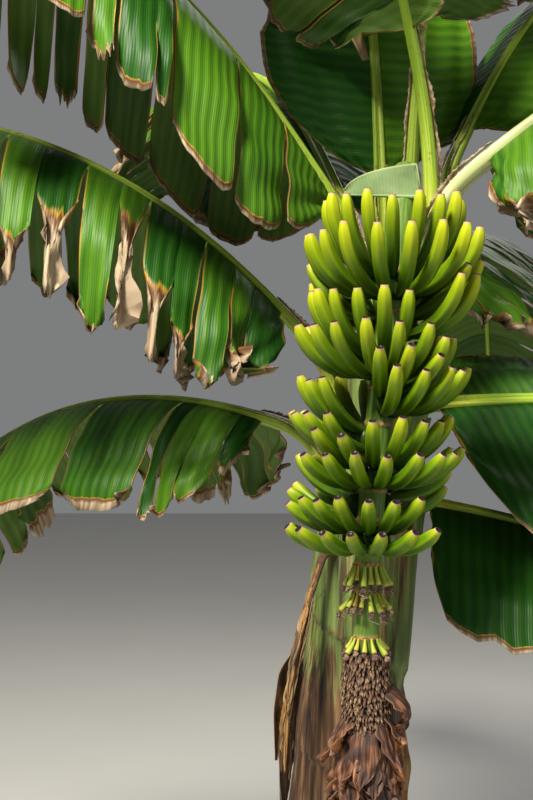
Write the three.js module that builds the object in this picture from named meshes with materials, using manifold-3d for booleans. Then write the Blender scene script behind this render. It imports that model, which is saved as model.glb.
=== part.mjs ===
// A fruiting dwarf banana plant, about as tall as a room: a false stem of wrapped leaf sheaths, a crown of
// wind-torn leaves, and one hanging bunch whose stalk runs on down through dried flowers to the male bud.
// Millimetres, +Z up. The origin is the middle of the flat cut at ground level; the bunch hangs on the -Y side.
import * as THREE from "three";
import { mergeVertices } from "three/addons/utils/BufferGeometryUtils.js";
import Module from "manifold-3d";

const wasm = await Module();
wasm.setup();

// Driving dimensions
const CLEARANCE = 0.3; // between pieces that touch on the real plant
const STEM = {
  height: 1690,
  baseRadius: 122,
  topRadius: 66,
  flare: 30,
  flareHeight: 95,
  ledge: 5,
  ledgePitch: 230,
  leanX: 142,
  leanY: -70,
  leanPower: 1.4,
  sides: 14,
  steps: 12,
};
const RIB_STEPS = 240; // pieces in which a midrib's curve is worked out
const BEND_SHARE = 0.5; // a leaf is split at the first tear past this share of its length,
const BEND_GAP = 0.4; // and both pieces stop this short of it,
const BEND_TEAR = 2; // where the tear is this many times wider
const ROOT_SINK = 8; // how far the middle of a leaf stalk starts inside the stem's skin
const ROOT_RISE = 80; // degrees above level at which a leaf stalk leaves its sheath
const BLADE_THICKNESS = 5;
const BLADE_FOLD = -10; // degrees below level of a blade at its rib: it first rises, as a shallow V
const BLADE_SWEEP = 0.2; // how far a level blade's edge leans on towards the tip, as a share of its width
const DROOP_POWER = 0.45; // how soon a blade turns down on its way from rib to edge
const PLUMB = 0.88; // a torn strip hangs between square to its rib and plumb,
const PLUMB_STEEP = 1.8; // less so where the rib itself is steep
const TEAR_JITTER = 0.5;
const TEAR_ROOT = 1.2; // half the gap between two strips where they leave the rib
const TEAR_EDGE = 7; // and at the blade's edge
const STALK = { topRadius: 27, bunchRadius: 23, lowRadius: 20, tipRadius: 11, sides: 10 };

// Each leaf: the height it leaves the stem, its heading round +Z from +X and how far that swings, the slope of its
// rib after the stalk and at the tip and how late it bends, its length and how much of that is bare stalk, half
// the blade's width, how far the blade hangs, the pitch of its tears and how many of those a strip spans. Some are
// rolled about their rib, leave another side of the stem than the one they head for, have a stouter or slimmer
// stalk, or reach their width over another share of the blade, by another power. Angles are in degrees.
const LEAVES = [
  { name: "leaf_01", root: 1205, heading: 352, rise: -10, tip: -56, length: 1180, stalk: 55, width: 300, hang: 56,
    strip: 180, span: 2, roll: 10, shoulder: 0.05 },
  { name: "leaf_02", root: 1215, heading: 146, rise: 14, tip: -64, length: 1300, stalk: 250, width: 320, hang: 70,
    strip: 230, swing: 14 },
  { name: "leaf_03", root: 1372, heading: 12, rise: 4, tip: -36, length: 1340, stalk: 65, width: 330, hang: 26,
    strip: 180, span: 2, roll: 30, swing: -6, shoulder: 0.06 },
  { name: "leaf_04", root: 1365, heading: 178, rise: 46, tip: -32, length: 1500, stalk: 250, width: 370, hang: 84,
    strip: 150, swing: 6 },
  { name: "leaf_05", root: 1440, heading: 66, rise: 32, tip: -60, length: 1460, stalk: 260, width: 340, hang: 60,
    strip: 240, swing: 12 },
  { name: "leaf_06", root: 1645, heading: 346, side: 305, rise: 38, tip: -40, length: 1500, stalk: 240, width: 350,
    hang: 76, strip: 185, swing: 6, stout: 1.35 },
  { name: "leaf_07", root: 1635, heading: 190, rise: 56, tip: -34, length: 1640, stalk: 160, width: 405, hang: 84,
    strip: 165, late: 1.7, shoulder: 0.26, shoulderPower: 0.9 },
  { name: "leaf_08", root: 1590, heading: 116, side: 150, rise: 50, tip: -48, length: 1560, stalk: 260, width: 340,
    hang: 60, strip: 240, swing: -10, stout: 0.85 },
  { name: "leaf_09", root: 1660, heading: 332, side: 66, start: 89, rise: 84, tip: -22, length: 1620, stalk: 470,
    width: 310, hang: 46, strip: 240, swing: 8, stout: 0.72 },
  { name: "leaf_10", root: 1655, heading: 222, side: 351, start: 92, rise: 74, tip: -26, length: 1680, stalk: 430,
    width: 310, hang: 46, strip: 240, swing: -18, stout: 0.7 },
  { name: "leaf_11", root: 1655, heading: 30, side: 27, rise: 60, tip: -8, length: 1480, stalk: 290, width: 280,
    hang: 36, strip: 155, span: 2, stout: 0.8 },
  { name: "leaf_12", root: 1665, heading: 104, side: 111, rise: 84, tip: 46, length: 1260, stalk: 180, width: 225,
    hang: 12, strip: 180, span: 2, stout: 0.8 },
];
// The flag leaf, small and pale, stands up on the front of the fruit stalk above the bunch: only half of it is left.
const FLAG_LEAF = { name: "flag_leaf", from: [155, -338, 1746], start: 0, heading: 184, rise: 2, tip: 0, length: 132,
  stalk: 8, width: 60, hang: 6, strip: 62, roll: 80, halves: [1], shoulder: 0.03, narrows: -0.7 };
// Dead leaves hang down the stem, folded shut and dry.
const DEAD_LEAVES = [
  { name: "dead_leaf_1", root: 1120, heading: 225, rise: -64, tip: -88, length: 440, stalk: 76, width: 24,
    strip: 90 },
  { name: "dead_leaf_2", root: 1010, heading: 72, rise: -58, tip: -88, length: 700, stalk: 120, width: 52,
    strip: 90 },
  { name: "dead_leaf_3", root: 1030, heading: 112, rise: -56, tip: -88, length: 740, stalk: 130, width: 58,
    strip: 90 },
];

// The fruit stalk: out of the stem's top, over in an arch and straight down through the bunch.
const STALK_ROUTE = [
  [143, -78, 1691],
  [146, -106, 1762],
  [141, -180, 1800],
  [127, -268, 1786],
  [115, -330, 1722],
  [107, -362, 1640],
  [92, -374, 1520],
  [72, -378, 1340],
  [59, -378, 1160],
  [56, -376, 960],
  [59, -374, 760],
  [61, -372, 640],
];
const ARCH_TOP = 0.16; // shares of the stalk's length: where the arch is split,
const BUNCH_TOP = 0.31; // and where the bunch's own stretch begins

// The bunch: hands of two rows of fingers, each turned on from the last, whose fingers stand in shared columns.
const BUNCH = { hands: 8, top: 1586, pitchTop: 64, pitchBottom: 49, facing: 268, turn: 150, spreadTop: 210,
  spreadBottom: 168, columns: 17, rowGap: 25 };
const FINGER = { lengthTop: 162, lengthBottom: 118, radiusTop: 11.8, radiusBottom: 12, sides: 4,
  room: 1.5, rings: [[0, 0.42], [0.26, 0.86], [0.7, 1], [1, 0.45]] }; // rings: shares of its length and radius
const EASE = { tries: 14, last: 6, first: 2.5 }; // degrees by which a finger gives way to the hand above, per try
const CUSHION = { reach: 21, halfHeight: 20 };

// Below the bunch: whorls of small unfilled fingers, a sleeve of dead flowers, dried bracts and the male bud.
const WHORLS = [
  { name: "flower_whorl_1", height: 1162, fingers: 8, length: 36, flare: 12 },
  { name: "flower_whorl_2", height: 1118, fingers: 8, length: 32, flare: 24 },
  { name: "flower_whorl_3", height: 1046, fingers: 7, length: 24, flare: 14 },
];
const SLEEVE = { top: 1020, bottom: 900, rings: 5, radius: 37, relief: 5, swell: 4 };
const SHAG = { top: 898, bottom: 690, tiers: 3, bracts: 5, radius: 41, flare: 18, furrow: 8, lap: 18, loose: 5,
  looseLength: 105, looseReach: 34, looseAngle: 60 };
const BUD = { top: 674, length: 168, radius: 43 };

// Shared helpers
const radians = THREE.MathUtils.degToRad;
const mix = (a, b, t) => a + (b - a) * t;
const clamp = (t) => Math.min(1, Math.max(0, t));
const smooth = (t) => t * t * (3 - 2 * t);
const UP = new THREE.Vector3(0, 0, 1);

// A repeatable number from 0 to 1 for each seed.
function chance(seed) {
  const wave = Math.sin(seed * 12.9898 + 4.1414) * 43758.5453;
  return wave - Math.floor(wave);
}

// Moves every vertex of a geometry by a function that takes and returns a Vector3.
function bend(geometry, place) {
  const position = geometry.getAttribute("position");
  const vertex = new THREE.Vector3();
  for (let i = 0; i < position.count; i++) {
    vertex.copy(place(vertex.fromBufferAttribute(position, i).clone()));
    position.setXYZ(i, vertex.x, vertex.y, vertex.z);
  }
  return geometry;
}

// A closed geometry as a solid, turned inside out if its faces point inwards.
function solidOf(geometry) {
  geometry.deleteAttribute("normal");
  geometry.deleteAttribute("uv");
  const merged = mergeVertices(geometry, 1e-4);
  const triVerts = new Uint32Array(merged.index.array);
  const vertProperties = merged.getAttribute("position").array;
  const made = new wasm.Manifold(new wasm.Mesh({ numProp: 3, vertProperties, triVerts }));
  if (made.volume() > 0) return made;
  for (let i = 0; i < triVerts.length; i += 3) {
    [triVerts[i + 1], triVerts[i + 2]] = [triVerts[i + 2], triVerts[i + 1]];
  }
  return new wasm.Manifold(new wasm.Mesh({ numProp: 3, vertProperties, triVerts }));
}

const joined = (solids) => solids.reduce((all, next) => all.add(next));

// The largest body of a solid: the scraps that a cut leaves are dropped.
function largestBody(solid) {
  return solid.decompose().sort((a, b) => b.volume() - a.volume())[0];
}

function geometryOf(solid) {
  const mesh = solid.getMesh();
  return new THREE.BufferGeometry()
    .setAttribute("position", new THREE.BufferAttribute(mesh.vertProperties, 3))
    .setIndex(new THREE.BufferAttribute(mesh.triVerts, 1));
}

// A limb of any cross-section: a cylinder whose rings are placed by ringAt(t), which gives the middle of a ring
// and the two half axes of its oval.
function limb(ringAt, sides, steps) {
  const cylinder = new THREE.CylinderGeometry(1, 1, 1, sides, steps);
  return solidOf(bend(cylinder, (v) => {
    const ring = ringAt(clamp(v.y + 0.5));
    return ring.middle.clone().addScaledVector(ring.across, v.x).addScaledVector(ring.over, v.z);
  }));
}

// The false stem
function stemAxis(z) {
  const lean = (z / STEM.height) ** STEM.leanPower;
  return new THREE.Vector3(STEM.leanX * lean, STEM.leanY * lean, z);
}

function stemRadius(z) {
  const taper = mix(STEM.baseRadius, STEM.topRadius, (z / STEM.height) ** 0.8);
  return taper + STEM.flare * Math.exp(-z / STEM.flareHeight);
}

// Old sheaths end in ledges that climb round the stem, each a little proud of the one above it.
function sheathLedge(z, angle) {
  const turn = z / STEM.ledgePitch + angle / (2 * Math.PI);
  return STEM.ledge * (1 - (turn - Math.floor(turn)));
}

function stemSolid(grow) {
  return limb((t) => {
    const z = t * STEM.height;
    const radius = stemRadius(z) * (t === 1 ? 0.86 : 1) + sheathLedge(z, 0) + grow;
    const middle = stemAxis(z);
    if (t > 0) middle.z += grow;
    return { middle, across: new THREE.Vector3(radius, 0, 0), over: new THREE.Vector3(0, -radius, 0) };
  }, STEM.sides, STEM.steps);
}

// The leaves
function leafRoot(leaf) {
  const outward = radians(leaf.side ?? leaf.heading);
  const reach = stemRadius(leaf.root) - ROOT_SINK;
  return stemAxis(leaf.root).add(new THREE.Vector3(Math.cos(outward) * reach, Math.sin(outward) * reach, 0));
}

// The midrib's curve, added up in short steps and kept at its knots: three along the stalk, then one at each tear.
function layRib(leaf, seed) {
  const strips = Math.max(2, Math.round((leaf.length - leaf.stalk) / leaf.strip));
  leaf.knots = [0, leaf.stalk * 0.5, leaf.stalk];
  for (let i = 1; i <= strips; i++) {
    const shift = i < strips ? TEAR_JITTER * (chance(seed + i) - 0.5) : 0;
    leaf.knots.push(mix(leaf.stalk, leaf.length, (i + shift) / strips));
  }
  const step = leaf.length / RIB_STEPS;
  const point = leaf.from ? new THREE.Vector3(...leaf.from) : leafRoot(leaf);
  leaf.rib = [];
  for (let i = 0; i <= RIB_STEPS; i++) {
    const along = i * step;
    const blade = clamp((along - leaf.stalk) / (leaf.length - leaf.stalk));
    const bent = smooth(clamp(along / leaf.stalk));
    const slope = radians(mix(mix(leaf.start ?? ROOT_RISE, leaf.rise, bent), leaf.tip, blade ** (leaf.late ?? 1.3)));
    const heading = radians(leaf.heading + (leaf.swing ?? 0) * (along / leaf.length));
    while (leaf.rib.length < leaf.knots.length && leaf.knots[leaf.rib.length] < along + step / 2) {
      leaf.rib.push({ point: point.clone(), slope, heading });
    }
    point.x += Math.cos(heading) * Math.cos(slope) * step;
    point.y += Math.sin(heading) * Math.cos(slope) * step;
    point.z += Math.sin(slope) * step;
  }
  return leaf;
}

// Place and directions at a distance along the rib: forward, sideways and up from the blade's upper face.
function ribFrame(leaf, along) {
  const i = Math.max(0, leaf.knots.findLastIndex((knot, k) => k < leaf.knots.length - 1 && knot <= along));
  const [a, b] = [leaf.rib[i], leaf.rib[i + 1]];
  const t = (along - leaf.knots[i]) / (leaf.knots[i + 1] - leaf.knots[i]);
  const slope = mix(a.slope, b.slope, t);
  const heading = mix(a.heading, b.heading, t);
  const forward = new THREE.Vector3(Math.cos(heading) * Math.cos(slope), Math.sin(heading) * Math.cos(slope),
    Math.sin(slope));
  const level = new THREE.Vector3(-Math.sin(heading), Math.cos(heading), 0);
  const roll = radians(leaf.roll ?? 0) * smooth(clamp(along / leaf.stalk));
  const side = level.clone().applyAxisAngle(forward, roll);
  const up = forward.clone().cross(side);
  return { point: a.point.clone().lerp(b.point, t), forward, side, up };
}

// Half the width and depth of the stalk and rib: a broad sheath end, then a stout rib that thins to the tip.
function ribSize(leaf, along) {
  const stalk = smooth(clamp(along / leaf.stalk));
  const blade = clamp((along - leaf.stalk) / (leaf.length - leaf.stalk));
  const scale = Math.min(1, leaf.width / 250);
  const stout = leaf.stout ?? 1;
  return {
    width: mix(mix(25 * Math.min(1, stout), 17 * stout, stalk), 5.5, blade ** 0.8) * scale,
    depth: mix(mix(14, 15 * stout, stalk), 5.5, blade ** 0.8) * scale,
  };
}

function bladeWidth(leaf, along) {
  const q = clamp((along - leaf.stalk) / (leaf.length - leaf.stalk));
  const narrows = leaf.narrows ?? 0.72;
  const start = (1 - (1 - Math.min(1, q / (leaf.shoulder ?? 0.2))) ** 2) ** (leaf.shoulderPower ?? 0.5);
  const end = Math.sqrt(Math.max(0, 1 - Math.max(0, (q - narrows) / (1 - narrows)) ** 2));
  return leaf.width * Math.max(0.16, start * end);
}

// A point of a torn strip at v from rib to edge. The strip leaves the rib in a shallow V and turns down to its
// hang; the place is found by adding up its slope in small steps.
function bladePoint(leaf, along, v, hand, hang) {
  const frame = ribFrame(leaf, along);
  const width = bladeWidth(leaf, along);
  const out = frame.side.clone().multiplyScalar(hand);
  const plumb = PLUMB * Math.min(1, PLUMB_STEEP * Math.hypot(frame.forward.x, frame.forward.y));
  const down = frame.up.clone().multiplyScalar(plumb - 1).addScaledVector(UP, -plumb).normalize();
  const point = frame.point.clone().addScaledVector(frame.up, -ribSize(leaf, along).depth * 0.2);
  const direction = new THREE.Vector3();
  const steps = 12;
  for (let i = 0; i <= steps; i++) {
    const here = v * ((i + 0.5) / steps);
    const slope = radians(mix(BLADE_FOLD, hang, Math.min(1, here) ** DROOP_POWER));
    direction.copy(out).multiplyScalar(Math.cos(slope)).addScaledVector(down, Math.sin(slope));
    if (i < steps) point.addScaledVector(direction, (width * v) / steps);
  }
  point.addScaledVector(frame.forward, width * BLADE_SWEEP * Math.max(0, 1 - hang / 70) * v * v);
  const face = frame.forward.clone().cross(direction).normalize().multiplyScalar(hand);
  return { point, face };
}

// A strip of blade between tears: it spans the knots from first to last.
function bladeStrip(leaf, first, last, hand, hang) {
  const box = new THREE.BoxGeometry(1, 1, 1, last - first, 2, 1);
  return solidOf(bend(box, (vertex) => {
    const v = vertex.y + 0.5;
    const knot = first + Math.round((vertex.x + 0.5) * (last - first));
    const gap = (TEAR_ROOT + TEAR_EDGE * v) * (knot === leaf.bent ? BEND_TEAR : 1);
    const along = leaf.knots[knot] + (knot === first ? gap : 0) - (knot === last ? gap : 0);
    const { point, face } = bladePoint(leaf, along, v, hand, hang);
    return point.addScaledVector(face, vertex.z * BLADE_THICKNESS);
  }));
}

// One stretch of a leaf between two knots: its rib, and the strips of both halves fused on, their roots in the rib.
function leafStretch(leaf, first, last, seed) {
  const rib = limb((t) => {
    const knot = first + Math.round(t * (last - first));
    const along = leaf.knots[knot] + (knot === first && first > 0 ? BEND_GAP : 0) - (knot === last ? BEND_GAP : 0);
    const frame = ribFrame(leaf, along);
    const size = ribSize(leaf, along);
    return {
      middle: frame.point,
      across: frame.side.multiplyScalar(size.width),
      over: frame.up.multiplyScalar(size.depth),
    };
  }, 5, last - first);
  const solids = [rib];
  const span = leaf.span ?? 1;
  for (const hand of leaf.halves ?? [-1, 1]) {
    for (let knot = Math.max(2, first); knot < last; knot += span) {
      const hang = leaf.hang * mix(0.86, 1.12, chance(seed + 40 * hand + knot));
      solids.push(bladeStrip(leaf, knot, Math.min(last, knot + span), hand, hang));
    }
  }
  return joined(solids);
}

// A dead leaf is a flat twisted ribbon with a ragged edge.
function deadLeaf(leaf) {
  return limb((t) => {
    const along = t * leaf.length;
    const frame = ribFrame(leaf, along);
    const blade = clamp((along - leaf.stalk) / (leaf.length - leaf.stalk));
    const width = mix(20, leaf.width, Math.sin(Math.PI * blade ** 0.7)) * mix(0.8, 1.1, chance(leaf.root + 9 * t));
    const twist = radians(50) * Math.sin(3 * t);
    const across = frame.side.clone().multiplyScalar(Math.cos(twist)).addScaledVector(frame.up, Math.sin(twist));
    const over = frame.forward.clone().cross(across);
    return { middle: frame.point, across: across.multiplyScalar(width), over: over.multiplyScalar(9) };
  }, 6, 6);
}

// The fruit stalk
const stalkCurve = new THREE.CatmullRomCurve3(STALK_ROUTE.map((p) => new THREE.Vector3(...p)), false, "centripetal");

function stalkRadius(t) {
  if (t < BUNCH_TOP) return mix(STALK.topRadius, STALK.bunchRadius, t / BUNCH_TOP);
  return Math.max(STALK.tipRadius, mix(STALK.bunchRadius, STALK.lowRadius, (t - BUNCH_TOP) / 0.4));
}

function stalkPiece(from, to, steps, grow) {
  return limb((t) => {
    const along = mix(from, to, t);
    const forward = stalkCurve.getTangentAt(along);
    const across = new THREE.Vector3(1, 0, 0).addScaledVector(forward, -forward.x).normalize();
    const radius = stalkRadius(along) + grow;
    return {
      middle: stalkCurve.getPointAt(along),
      across: across.clone().multiplyScalar(radius),
      over: forward.clone().cross(across).multiplyScalar(-radius),
    };
  }, STALK.sides, steps);
}

// The stalk's middle at a height below the arch, by halving.
function stalkAtHeight(z) {
  let [high, low] = [BUNCH_TOP * 0.9, 1];
  for (let i = 0; i < 24; i++) {
    const middle = (high + low) / 2;
    if (stalkCurve.getPointAt(middle).z > z) high = middle;
    else low = middle;
  }
  const point = stalkCurve.getPointAt(low);
  return { point, radius: stalkRadius(low) };
}

// The bunch: where a finger's middle runs, an arc that leaves the cushion at one slope and ends at another.
function fingerPoint(finger, share) {
  const { first, last, length, heading, root, start } = finger;
  const sweep = radians(last - first);
  const slope = radians(first) + sweep * share;
  const out = start + ((Math.sin(slope) - Math.sin(radians(first))) / sweep) * length;
  const rise = ((Math.cos(radians(first)) - Math.cos(slope)) / sweep) * length;
  const outward = new THREE.Vector3(Math.cos(heading), Math.sin(heading), 0);
  const forward = outward.clone().multiplyScalar(Math.cos(slope)).addScaledVector(UP, Math.sin(slope));
  return { point: root.clone().addScaledVector(outward, out).addScaledVector(UP, rise), forward };
}

function fingerSolid(finger) {
  const steps = FINGER.rings.length - 1;
  const across = new THREE.Vector3(-Math.sin(finger.heading), Math.cos(finger.heading), 0);
  return limb((t) => {
    const [share, swell] = FINGER.rings[Math.round(t * steps)];
    const { point, forward } = fingerPoint(finger, share);
    return {
      middle: point,
      across: across.clone().multiplyScalar(finger.radius * swell),
      over: forward.cross(across).multiplyScalar(-finger.radius * swell),
    };
  }, FINGER.sides, steps);
}

// Points along a finger with its radius there, to tell how near it comes to another.
function fingerMarks(finger) {
  const rings = FINGER.rings.map(([share, swell]) => ({ share, swell, ...fingerPoint(finger, share) }));
  const marks = [];
  for (let i = 0; i + 1 < rings.length; i++) {
    for (let k = 0; k < 5; k++) {
      const point = rings[i].point.clone().lerp(rings[i + 1].point, k / 4);
      marks.push({ point, reach: finger.radius * mix(rings[i].swell, rings[i + 1].swell, k / 4) });
    }
  }
  return marks;
}

// A finger turns up only as far as the hands above let it, and one that finds no room isn't grown.
function settle(finger, above) {
  const clear = (a, b) => a.point.distanceTo(b.point) > a.reach + b.reach + FINGER.room;
  for (let i = 0; i < EASE.tries; i++) {
    const tried = { ...finger, last: finger.last - EASE.last * i, first: finger.first - EASE.first * i };
    const marks = fingerMarks(tried);
    if (above.every((mark) => marks.every((own) => clear(own, mark)))) return { ...tried, marks };
  }
  return null;
}

// Heights of the hands, closer together towards the bunch's end.
function handHeights() {
  const heights = [BUNCH.top];
  for (let i = 1; i < BUNCH.hands; i++) {
    heights.push(heights[i - 1] - mix(BUNCH.pitchTop, BUNCH.pitchBottom, (i - 1) / (BUNCH.hands - 2)));
  }
  return heights;
}

// A hand: two rows of fingers on a cushion round the stalk.
function handSolid(index, height, above, stalkGrown) {
  const t = index / (BUNCH.hands - 1);
  const facing = BUNCH.facing + BUNCH.turn * index;
  const spread = mix(BUNCH.spreadTop, BUNCH.spreadBottom, t);
  const { point, radius: stalkHere } = stalkAtHeight(height);
  const length = mix(FINGER.lengthTop, FINGER.lengthBottom, t ** 0.85);
  const rows = [
    { lift: 0, first: mix(0, -10, t), last: mix(84, 44, t), length },
    { lift: BUNCH.rowGap, first: mix(26, 4, t), last: mix(90, 58, t), length: length * 0.97 },
  ];
  const cushion = new THREE.CylinderGeometry(1, 1, 1, 10, 1);
  const solids = [solidOf(bend(cushion, (v) => {
    const reach = stalkHere + CUSHION.reach;
    return new THREE.Vector3(point.x + v.x * reach, point.y + v.z * reach,
      point.z + BUNCH.rowGap / 2 + v.y * 2 * CUSHION.halfHeight);
  }))];
  const grown = [];
  rows.forEach((row, half) => {
    for (let column = 0; column < BUNCH.columns; column++) {
      const place = (360 * (column + half / 2)) / BUNCH.columns;
      const aside = THREE.MathUtils.euclideanModulo(place - facing + 180, 360) - 180;
      if (Math.abs(aside) > spread / 2) continue;
      const finger = settle({
        heading: radians(place),
        root: point.clone().setZ(height + row.lift),
        start: stalkHere + 5,
        radius: mix(FINGER.radiusTop, FINGER.radiusBottom, t),
        ...row,
      }, above);
      if (finger) grown.push(finger);
    }
  });
  grown.forEach((finger) => {
    solids.push(fingerSolid(finger));
    above.push(...finger.marks);
  });
  return largestBody(joined(solids).subtract(stalkGrown));
}

// Below the bunch
// A whorl of small unfilled fingers that hang from a scar ring: a pleated skirt, each pleat one finger.
function flowerWhorl(whorl, stalkGrown) {
  const { point, radius } = stalkAtHeight(whorl.height);
  const skirt = new THREE.CylinderGeometry(1, 1, 1, whorl.fingers * 2, 2);
  return largestBody(solidOf(bend(skirt, (v) => {
    const t = 0.5 - v.y;
    const angle = Math.atan2(v.x, v.z);
    const pleat = Math.cos(angle * whorl.fingers) > 0 ? 1 : 0;
    const away = Math.hypot(v.x, v.z) > 0.5 ? radius + 7 + whorl.flare * t - 9 * t * (1 - pleat) : 0;
    const z = whorl.height - whorl.length * t * mix(0.8, 1, pleat);
    return new THREE.Vector3(point.x + Math.cos(angle) * away, point.y + Math.sin(angle) * away, z);
  })).subtract(stalkGrown));
}

// A sleeve of dead flowers round the stalk, ringed where each row of them stood.
function flowerSleeve(stalkGrown) {
  const steps = SLEEVE.rings * 2;
  const sleeve = limb((t) => {
    const z = mix(SLEEVE.top, SLEEVE.bottom, t);
    const relief = Math.round(t * steps) % 2 ? SLEEVE.relief : -SLEEVE.relief;
    const radius = SLEEVE.radius + relief + SLEEVE.swell * Math.sin(Math.PI * t);
    const { point } = stalkAtHeight(z);
    return {
      middle: point,
      across: new THREE.Vector3(radius, 0, 0),
      over: new THREE.Vector3(0, radius, 0),
    };
  }, 10, steps);
  return largestBody(sleeve.subtract(stalkGrown));
}

// Dried bracts in tiers, like shingles, with a few that curl away from the rest.
function bractShag(stalkGrown) {
  const steps = SHAG.tiers * 2;
  const shingles = new THREE.CylinderGeometry(1, 1, 1, SHAG.bracts * 2, steps);
  const solids = [solidOf(bend(shingles, (v) => {
    const t = 0.5 - v.y;
    const angle = Math.atan2(v.x, v.z);
    const ring = Math.round(t * steps);
    const edge = ring % 2;
    const pleat = Math.cos(angle * SHAG.bracts + (ring > 2 ? Math.PI : 0)) > 0 ? 1 : 0;
    const flare = edge * (SHAG.flare - SHAG.furrow * (1 - pleat));
    const away = Math.hypot(v.x, v.z) > 0.5 ? SHAG.radius + flare : 0;
    const z = mix(SHAG.top, SHAG.bottom, t) - edge * SHAG.lap * pleat;
    const { point } = stalkAtHeight(z);
    return new THREE.Vector3(point.x + Math.cos(angle) * away, point.y + Math.sin(angle) * away, z);
  }))];
  for (let i = 0; i < SHAG.loose; i++) {
    const facing = (2 * Math.PI * (i * 3 + 0.5 * chance(500 + i))) / SHAG.loose;
    const top = mix(SHAG.top - 20, SHAG.bottom + 60, i / (SHAG.loose - 1));
    const { point } = stalkAtHeight(top);
    solids.push(solidOf(bend(new THREE.BoxGeometry(1, 1, 1, 1, 2, 1), (v) => {
      const t = v.y + 0.5;
      const angle = facing + radians(SHAG.looseAngle) * v.x * (t > 0.8 ? 0.3 : 1);
      const away = SHAG.radius - 4 + SHAG.looseReach * t ** 1.5 + 4 * v.z;
      return new THREE.Vector3(point.x + Math.cos(angle) * away, point.y + Math.sin(angle) * away,
        top - SHAG.looseLength * t);
    })));
  }
  return largestBody(joined(solids).subtract(stalkGrown));
}

// The male bud that ends the stalk: closed bracts in a drop shape.
function maleBud(stalkGrown) {
  const { point } = stalkAtHeight(BUD.top);
  const bud = limb((t) => {
    const radius = Math.max(3, BUD.radius * Math.sin(Math.PI * mix(0.16, 1, t) ** 1.25) ** 0.8);
    return {
      middle: new THREE.Vector3(point.x, point.y, BUD.top - BUD.length * t),
      across: new THREE.Vector3(radius, 0, 0),
      over: new THREE.Vector3(0, radius, 0),
    };
  }, 10, 8);
  return largestBody(bud.subtract(stalkGrown));
}

// Materials, one for each finish
const finish = (color, roughness) => new THREE.MeshStandardMaterial({ color, roughness, metalness: 0 });
const MATERIALS = {
  stem: finish(0x6a7a3a, 0.75),
  leaf: finish(0x2f6b1e, 0.5),
  flag: finish(0x8aa25a, 0.6),
  dead: finish(0x8a6a45, 0.9),
  stalk: finish(0x4f7a2a, 0.6),
  fruit: finish(0x7aa51e, 0.45),
  whorl: finish(0x9aa530, 0.7),
  driedFlowers: finish(0x6e5238, 0.95),
  driedBracts: finish(0x8a5a40, 0.9),
  bud: finish(0x5e2f3a, 0.6),
};

const plant = new THREE.Group();
const solids = new Map();
function add(name, solid, material) {
  const mesh = new THREE.Mesh(geometryOf(solid), material);
  mesh.name = name;
  plant.add(mesh);
  solids.set(name, solid);
}

const stemGrown = stemSolid(CLEARANCE);
add("false_stem", stemSolid(0), MATERIALS.stem);

const peduncle = stalkPiece(0, ARCH_TOP - 0.0002, 5, 0);
add("peduncle_rise", largestBody(peduncle.subtract(stemGrown)), MATERIALS.stalk);
add("peduncle_fall", stalkPiece(ARCH_TOP, BUNCH_TOP - 0.0002, 4, 0), MATERIALS.stalk);
add("rachis", stalkPiece(BUNCH_TOP, 1, 9, 0), MATERIALS.stalk);
const stalkGrown = stalkPiece(ARCH_TOP, BUNCH_TOP + 0.001, 4, CLEARANCE).add(stalkPiece(BUNCH_TOP, 1, 9, CLEARANCE));

// The leaves go in from the oldest, each cut clear of the stem.
LEAVES.forEach((leaf, i) => {
  const seed = 100 * (i + 1);
  layRib(leaf, seed);
  leaf.bent = leaf.knots.findIndex((knot) => knot > leaf.length * BEND_SHARE);
  const base = leafStretch(leaf, 0, leaf.bent, seed);
  add(leaf.name + "_base", largestBody(base.subtract(stemGrown)), MATERIALS.leaf);
  add(leaf.name + "_tip", leafStretch(leaf, leaf.bent, leaf.knots.length - 1, seed), MATERIALS.leaf);
});
layRib(FLAG_LEAF, 1300);
const flag = leafStretch(FLAG_LEAF, 0, FLAG_LEAF.knots.length - 1, 1300);
add(FLAG_LEAF.name, largestBody(flag.subtract(stalkGrown)), MATERIALS.flag);
DEAD_LEAVES.forEach((leaf, i) => {
  layRib(leaf, 1400 + 100 * i);
  add(leaf.name, largestBody(deadLeaf(leaf).subtract(stemGrown)), MATERIALS.dead);
});

const fingersAbove = [];
handHeights().forEach((height, i) => {
  add("hand_" + (i + 1), handSolid(i, height, fingersAbove, stalkGrown), MATERIALS.fruit);
});

WHORLS.forEach((whorl) => add(whorl.name, flowerWhorl(whorl, stalkGrown), MATERIALS.whorl));
add("dried_flower_sleeve", flowerSleeve(stalkGrown), MATERIALS.driedFlowers);
add("dried_bracts", bractShag(stalkGrown), MATERIALS.driedBracts);
add("male_bud", maleBud(stalkGrown), MATERIALS.bud);

export default plant;
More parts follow.
